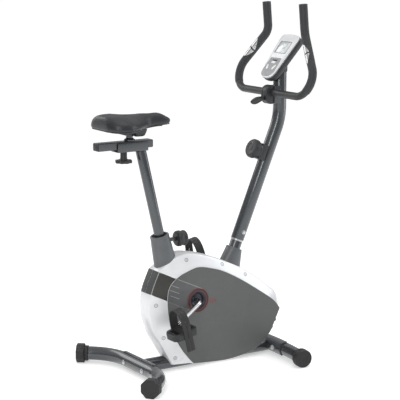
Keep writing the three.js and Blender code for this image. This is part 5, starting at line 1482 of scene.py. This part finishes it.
# %% Mast and its bolt
MAST_X = 356
MAST_TOP = 1086
MAST_FOOT = 455
mast_bend = mm(MAST_X, 0, 481 + 178 / tan(MAST_LEAN))
mast_path = bend_path([mast_at(MAST_FOOT), mast_bend, mm(MAST_X, 0, MAST_TOP)], [220], 2)
dress(tube("mast_skin", mast_path, 25.0, 1.0, 64), "frame", "frame_paint", gunmetal, "mast")
seam_ring = lathe("mast_joint_ring", [(22.6, -6), (23.4, -5.4), (23.4, -1.2), (24.8, -0.4), (24.8, 0.6)],
                  turned_to(mast_at(MAST_FOOT), mast_up), 0.3, 64)
dress(seam_ring, "frame", "chrome", zinc)
mast_bolts = []
for side in (-1, 1):
    seat = turned_to(mast_at(484), mm(0, side, 0))
    mast_bolts.append(lathe("washer", [(3, 24.2), (8.2, 24.2), (8.2, 25.8), (3, 25.8)], seat, 0.3, 32))
    hexagon = [Vector((6.4 * cos(pi / 3 * k), 6.4 * sin(pi / 3 * k))) for k in range(6)]
    mast_bolts.append(slab("bolt_head", soften(hexagon, 0.5, closed=True, steps=2), 4.6,
                           seat @ moved(0, 0, 25.4), 0.8))
dress(joined("mast_clamp_bolt", *mast_bolts), "frame", "zinc", zinc)
print("mast:", round(path_length(mast_path)), "mm of tube")

# %% [markdown]
# ## Tension control
# A small box on the back of the mast carries the dial that pulls the brake cable.

# %% Tension box and dial
tension_up = mast_at(481) + mast_up * 309
TENSION = turned_to(tension_up, mast_back, mast_up * -1)
BEZEL_PROFILE = [(18, 42), (29, 42), (31, 44), (31, 52.5), (29.5, 54), (20, 54)]
DIAL_PROFILE = [(0, 54.8), (33, 54.8), (35, 57), (35, 73), (32, 78), (27.5, 79), (26.5, 78), (25.5, 78.6),
                (18.5, 78.6), (17.5, 77.6), (9.5, 77.6), (8.5, 78.8), (0, 78.9)]
body_parts = [slab("box", oblong(30, 23, 5, 4), 33, TENSION @ moved(0, 0, 12), 2.2),
              lathe("bezel", BEZEL_PROFILE, TENSION, 1.0, 72)]
for side in (-1, 1):
    body_parts.append(slab("cheek", oblong(30, 3.5, 2, 3), 22, TENSION @ moved(0, side * 19.5, -4), 1.2))
dress(joined("tension_housing", *body_parts), "frame", "black_plastic", black_plastic, "tension_box")
dial_parts = [lathe("dial", DIAL_PROFILE, TENSION, 1.0, 96)]
for spot in around(TENSION, 30):
    dial_parts.append(slab("rib", oblong(0.9, 1.5, 0.6, 2), 14, spot @ moved(35.0, 0, 59), 0.6))
dial_moulding = joined("tension_dial_moulding", *dial_parts)
dress(dial_moulding, "tension_dial", "black_plastic", black_plastic, "tension_knob")
pointer = slab("tension_dial_pointer", oblong(4.2, 0.9, 0.6, 3), 0.6, TENSION @ moved(-22, 0, 78.3), 0.2)
dress(pointer, "tension_dial", "chrome", line_silver)
scale_ticks = []
for k in range(8):
    tick = TENSION @ Matrix.Rotation(radians(120 + 34 * k), 4, "Z") @ moved(30.6, 0, 48)
    scale_ticks.append(slab("tick", oblong(0.6, 0.8 + 0.12 * k, 0.3, 2), 3.6, tick, 0.1))
dress(joined("tension_scale", *scale_ticks), "frame", "chrome", line_silver)
print("tension control made")

# %% [markdown]
# ## Handlebar
# One tube runs from grip to grip: up, inwards, round the outer corner and straight across the mast. Foam
# sleeves cover the upper runs, and two-part steel plates lower down feel the pulse.

# %% Handlebar tube, foam and end plugs
RAKE = radians(18.2)
ARM_IN = radians(38.7)
BAR_X = 311
BAR_Z = 997
TIP_Y = 115.6
CORNER_R = 66
corner_y = 164 + CORNER_R * tan((pi / 2 + ARM_IN) / 2)
elbow_rise = (corner_y - TIP_Y) / tan(ARM_IN)
tip_place = mm(374, TIP_Y, 1325)


def loop_plane(y, height):
    """A point of the raked plane in which the lower part of the bar lies."""
    return mm(BAR_X + height * sin(RAKE), y, BAR_Z + height * cos(RAKE))


half_points = [loop_plane(corner_y, 0), loop_plane(TIP_Y, elbow_rise), tip_place]
bar_points = [mm(p.x, -p.y, p.z) for p in reversed(half_points)] + half_points
bar_path = bend_path(bar_points, [60, CORNER_R, CORNER_R, 60], 4)
bar_length = path_length(bar_path)
dress(tube("handlebar_tube_skin", bar_path, 14.0, 1.0, 40), "handlebar", "black_plastic", black_plastic,
      "handlebar_tube")
SENSOR_FROM = 172.0
SENSOR_LONG = 58.0
SENSOR_TO = SENSOR_FROM + SENSOR_LONG
PLUG_PROFILE = [(14.5, -5), (16.1, -4), (16.3, -0.5), (15.0, 1.0), (11, 1.35), (10, 0.9), (0, 0.9)]


def bar_run(side, start, end):
    """A stretch of the handlebar between two distances from one of its tips."""
    if side < 0:
        return stretch(bar_path, start, end)
    return stretch(bar_path, bar_length - end, bar_length - start)


for side_name, side in (("right", -1), ("left", 1)):
    sleeve = tube(f"{side_name}_foam_sleeve", bar_run(side, 1.5, SENSOR_FROM - 0.3), 16.0, 2.2, 48)
    dress(sleeve, "handlebar", "foam", foam, f"{side_name}_grip")
    tip = mm(tip_place.x, side * tip_place.y, tip_place.z)
    tip_run = bar_run(side, 0.01, 4)
    tip_ends = (tip_run[0], tip_run[-1]) if side < 0 else (tip_run[-1], tip_run[0])
    tip_up = (tip_ends[0] - tip_ends[1]).normalized()
    plug = lathe(f"{side_name}_grip_plug", PLUG_PROFILE, turned_to(tip, tip_up), 1.0, 48)
    dress(plug, "handlebar", "black_plastic", black_plastic)
    lower = tube(f"{side_name}_lower_foam", bar_run(side, SENSOR_TO + 0.6, SENSOR_TO + 128), 15.6, 2.0, 48)
    dress(lower, "handlebar", "foam", foam)

# %% [markdown]
# Each pulse sensor is a pair of pressed steel leaves let into the rider's side of the foam, with a dark
# bridge between them. The leaves are widest at the bridge and narrow to a rounded point.

# %% Pulse sensors
LEAF_LONG = 42.0
BRIDGE_HALF = 3.0


def leaf(name, path, side_angle, widest, radius=16.5, thick=1.2, point_first=True):
    """A plate curved to a tube: its width shrinks along the path, and its middle faces one way."""
    rings = []
    last = len(path) - 1
    for i, point in enumerate(path):
        heading = (path[min(i + 1, last)] - path[max(i - 1, 0)]).normalized()
        facing = mm(-1, 0, 0) - heading * mm(-1, 0, 0).dot(heading)
        facing.normalize()
        across = heading.cross(facing)
        share = i / last if point_first else 1 - i / last
        half = radians(widest) * max(0.07, share ** 0.55)
        ring = []
        for r, order in ((radius, range(13)), (radius - thick, range(12, -1, -1))):
            for k in order:
                a = radians(side_angle) - half + 2 * half * k / 12
                ring.append(point + facing * r * cos(a) + across * r * sin(a))
        rings.append(ring)
    return loft(name, rings, 50)


def finely(path, step=2.0):
    """The same path with a station every couple of millimetres."""
    long = path_length(path)
    count = max(2, round(long / step))
    return [stretch(path, long * k / count * 0.9999, long)[0] for k in range(count)] + [path[-1]]


for side_name, side in (("right", -1), ("left", 1)):
    middle = SENSOR_FROM + SENSOR_LONG / 2
    bed = tube(f"{side_name}_pulse_bed", bar_run(side, SENSOR_FROM - 2, SENSOR_TO + 2), 16.0, 0.4, 48)
    dress(bed, "handlebar", "foam", foam)
    upper = finely(bar_run(side, middle - BRIDGE_HALF - LEAF_LONG, middle - BRIDGE_HALF))
    lower = finely(bar_run(side, middle + BRIDGE_HALF, middle + BRIDGE_HALF + LEAF_LONG))
    turn = 14 * -side
    leaves = [leaf("leaf", upper, turn, 74, point_first=side < 0),
              leaf("leaf", lower, turn, 74, point_first=side > 0)]
    dress(joined(f"{side_name}_pulse_leaves", *leaves), "handlebar", "chrome", sensor_steel,
          f"{side_name}_pulse_sensor")
    bridge = finely(bar_run(side, middle - BRIDGE_HALF, middle + BRIDGE_HALF), 1.5)
    bridge_plate = leaf("bridge", bridge, turn, 78, radius=17.0, thick=1.6)
    dress(joined(f"{side_name}_pulse_bridge", bridge_plate), "handlebar", "black_plastic", black_plastic)
print("handlebar:", round(bar_length), "mm of tube")

# %% [markdown]
# ## Clamp and lever
# A steel cradle welded to the mast holds the bar, a plastic block closes it, and one wing screw tightens
# them. The rider loosens the wing to tilt the bar.

# %% Cradle, clamp block and wing
cradle_outline = soften([(317, 956), (317, 1022), (345, 1022), (354, 1016), (354, 962), (345, 956)], 3,
                        closed=True)
cradle = slab("mast_cradle", cradle_outline, 46, on_side(1, -23), 1.6)
dress(cradle, "frame", "frame_paint", gunmetal, "handlebar_bracket")
block_corners = [(316.6, 1025), (306, 1025), (293, 1020), (283, 1008), (283, 969), (297, 955), (316.6, 955)]
block_outline = soften(block_corners, 7, closed=True)
ridge_outline = [p + Vector((-1.0, 0)) for p in block_outline if p.x < 312]
clamp_parts = [slab("block", block_outline, 38, on_side(1, -19), 2.0)]
for y in (-12, 12):
    clamp_parts.append(slab("ridge", ridge_outline, 4, on_side(1, y - 2), 0.8))
clamp_moulding = joined("clamp_block_moulding", *clamp_parts)
dress(clamp_moulding, "frame", "black_plastic", black_plastic, "handlebar_clamp")

lever_out = mm(-cos(radians(14)), 0, -sin(radians(14)))
WING_TURN = radians(58)
lever_place = (turned_to(mm(BAR_X - 29, 0, BAR_Z - 19), lever_out, mm(0, 1, 0))
               @ Matrix.Rotation(WING_TURN, 4, "Z"))
WING_LONG = 48.0
wing = (bezier((-8, 8), (-10, WING_LONG * 0.35), (-14, WING_LONG * 0.5), (-14, WING_LONG * 0.7), 8)
        + bezier((-14, WING_LONG * 0.7), (-14, WING_LONG * 0.92), (-6, WING_LONG + 10), (0, WING_LONG + 10), 8)
        + bezier((0, WING_LONG + 10), (6, WING_LONG + 10), (14, WING_LONG * 0.92), (14, WING_LONG * 0.7), 8)
        + bezier((14, WING_LONG * 0.7), (14, WING_LONG * 0.5), (10, WING_LONG * 0.35), (8, 8), 8)
        + [Vector((8, 8))])
flat_wing = lever_place @ Matrix(((1, 0, 0, 0), (0, 0, -1, 6.6), (0, 1, 0, 0), (0, 0, 0, 1)))
lever_parts = [slab("wing", wing, 13.2, flat_wing, 4.2),
               lathe("neck", [(0, 0.5), (8.2, 0.5), (9, 1.4), (9, 12), (7.5, 17), (0, 17)], lever_place, 1.0, 48),
               lathe("screw", [(0, -15), (4, -15), (4, 1.5), (0, 1.5)], lever_place, 0.4, 24)]
dress(joined("wing_screw", *lever_parts), "bar_lever", "black_plastic", black_plastic, "clamp_lever")
print("clamp and lever made")

# %% [markdown]
# ## Console
# A slim computer sits on the mast's top, tilted to the rider. A silver fascia is set in a dark housing,
# with a sunken screen that shows plain digits and three soft keys.


# %% Console outline and placing
def console_outline(margin):
    half = 97.0 - margin
    top = 54.0 - margin
    bottom = 41.0 - margin
    outline = bezier((half, -top + 22), (half + 3, 0), (half + 3, 0), (half, top - 22), 10)
    outline += bezier((half, top - 22), (half, top - 7), (half - 7, top), (half - 22, top), 8)
    outline += [Vector((half - 22, top))]
    outline += bezier((-half + 34, bottom), (-half + 8, bottom - 2), (-half - 1, bottom * 0.6), (-half, 0), 12)
    outline += bezier((-half, 0), (-half - 1, -bottom * 0.6), (-half + 8, -bottom + 2), (-half + 34, -bottom), 12)
    outline += [Vector((-half + 34, -bottom))]
    outline += bezier((half - 22, -top), (half - 7, -top), (half, -top + 7), (half, -top + 22), 8)
    return outline


CONSOLE_TILT = radians(50.9)
CONSOLE = moved(346, 0, 1132) @ Matrix.Rotation(-CONSOLE_TILT, 4, "Y")


# %% Housing
def on_face(outline, depth):
    """An outline of the console placed at a depth below its face, or above it."""
    return [CONSOLE @ mm(p.x, p.y, depth) for p in outline]


HOUSING_STEPS = ((6.3, 0.6), (7.2, 0.0), (25, 0.0), (31, 2.2), (35, 5.5), (37.2, 11.0), (37.4, 20.0))
housing = loft("housing", [on_face(console_outline(margin), -depth) for depth, margin in HOUSING_STEPS], 50)
boss = lathe("boss", [(25.4, 1072.5), (27.5, 1072.5), (28, 1074), (28, 1118)], moved(MAST_X, 0, 0), 0.8, 56)
dress(joined("console_back", housing, boss), "frame", "black_plastic", black_plastic, "console_housing")
part_ring = on_face(console_outline(-0.1), -8.4)
part_line = sweep("console_part_line", part_ring + part_ring[:1], circle(0.7, 8),
                  up=CONSOLE.to_3x3() @ Vector((0, 0, 1)), capped=False)
dress(part_line, "frame", "console_silver", line_silver)

# %% Fascia with openings for the screen and the keys
BUTTONS = [(-30, 0, 24, 11, 0), (-52, 20, 24, 10, -62), (-52, -20, 24, 10, 62)]


def key_outline(x, y, length, width, turn, grow=0.0):
    """The rounded bar of a key, turned and placed on the face."""
    spin = Matrix.Rotation(radians(turn), 2)
    radius = width / 2 + grow
    half = (length - width) / 2
    rim = []
    for end, start in ((half, 0), (-half, pi)):
        angles = [start + pi * k / 10 for k in range(11)]
        rim += [Vector((radius * cos(a), end + radius * sin(a))) for a in angles]
    return [spin @ p + Vector((x, y)) for p in rim]


def screen_outline(half_x, half_y, radius):
    """An outline about the middle of the screen."""
    return [p + Vector((SCREEN_X, 0)) for p in oblong(half_x, half_y, radius, 5)]


SCREEN_X = 38
FACE_THICK = 6.0
hole_outlines = [screen_outline(25, 34, 4)] + [key_outline(*place, grow=0.4) for place in BUTTONS]
holes = [[on_face(outline, -FACE_THICK), on_face(outline, 0.0)] for outline in hole_outlines]
fascia_rings = [on_face(console_outline(margin), z)
                for margin, z in ((0, -FACE_THICK), (0, -1.6), (0.4, -0.5), (1.5, 0.0))]
fascia = sheet_with_holes("console_fascia", fascia_rings, holes)
dress(fascia, "frame", "console_silver", console_silver, "console_face")

# %% Screen, its frame and digits
screen = slab("console_screen", screen_outline(25.4, 34.4, 4), 1.6, CONSOLE @ moved(0, 0, -3.4), 0.2)
dress(screen, "frame", "black_plastic", screen_grey)
rim_out, rim_in = [[on_face(screen_outline(*size), z) for z in (-0.6, 0.7)]
                   for size in ((27, 36, 5), (24.6, 33.6, 4))]
screen_rim = sheet_with_holes("console_screen_rim", rim_out, [rim_in])
dress(screen_rim, "frame", "console_silver", console_lower)
SEGMENTS = {"0": "abcdef", "1": "bc", "2": "abged", "3": "abgcd", "5": "afgcd", "7": "abc", "8": "abcdefg"}
BARS = {"a": (4, 0, 1), "g": (0, 0, 1), "d": (-4, 0, 1), "f": (2, 2.1, 0), "b": (2, -2.1, 0), "e": (-2, 2.1, 0),
        "c": (-2, -2.1, 0)}
ink = []
for text, x, size in (("1275", 51, 1.5), ("308", 36, 1.1), ("120", 23, 1.1)):
    for k, digit in enumerate(text):
        middle_y = (len(text) / 2 - 0.5 - k) * 6.6 * size
        for bar in SEGMENTS[digit]:
            up, over, flat = BARS[bar]
            half = (0.45, 1.6) if flat else (1.6, 0.45)
            spot = CONSOLE @ moved(x + up * size, middle_y + over * size, -1.95)
            ink.append(slab("bar", oblong(half[0] * size, half[1] * size, 0.2, 2), 0.3, spot, 0.05))
dress(joined("console_digits", *ink), "frame", "black_plastic", screen_ink)

# %% Lower zone and keys
zone = [Vector((-10, -34)), Vector((-10, 34))] + [p for p in console_outline(2.2) if p.x < -62]
zone_outlines = [soften(zone, 4, closed=True, steps=3)]
zone_outlines += [key_outline(*place, grow=0.5) for place in BUTTONS]
zone_rings, *zone_holes = [[on_face(outline, z) for z in (-0.2, 0.35)] for outline in zone_outlines]
lower_zone = sheet_with_holes("console_lower_zone", zone_rings, zone_holes)
dress(lower_zone, "frame", "console_silver", console_lower)
for number, place in enumerate(BUTTONS, 1):
    key = slab(f"console_key_{number}", key_outline(*place), 5.0, CONSOLE @ moved(0, 0, -3.2), 1.1)
    dress(key, f"button_{number}", "console_silver", console_silver, f"console_button_{number}")
print("console made")

# %% [markdown]
# ## Pieces inside the covers
# The bearings, belt, flywheel and brake are seen only through the crank's opening and in poses, so their
# solids are kept and take a finish of their own.

# %% Finishes of the inner solids
INNER = {"crank_shell": gunmetal, "crank_bearing_right": zinc, "crank_bearing_left": zinc,
         "crank_pulley": black_plastic, "drive_belt": rubber, "flywheel": iron, "flywheel_shaft": zinc,
         "flywheel_fork": gunmetal, "magnet_arm": zinc, "magnet_pivot": gunmetal, "tension_cable": rubber}
for node, material in INNER.items():
    inner = frame["nodes"][node]
    inner.data.materials.clear()
    inner.data.materials.append(material)
shown = [name for name, node in frame["nodes"].items() if not node.hide_render]
print("solids shown as they are:", shown)
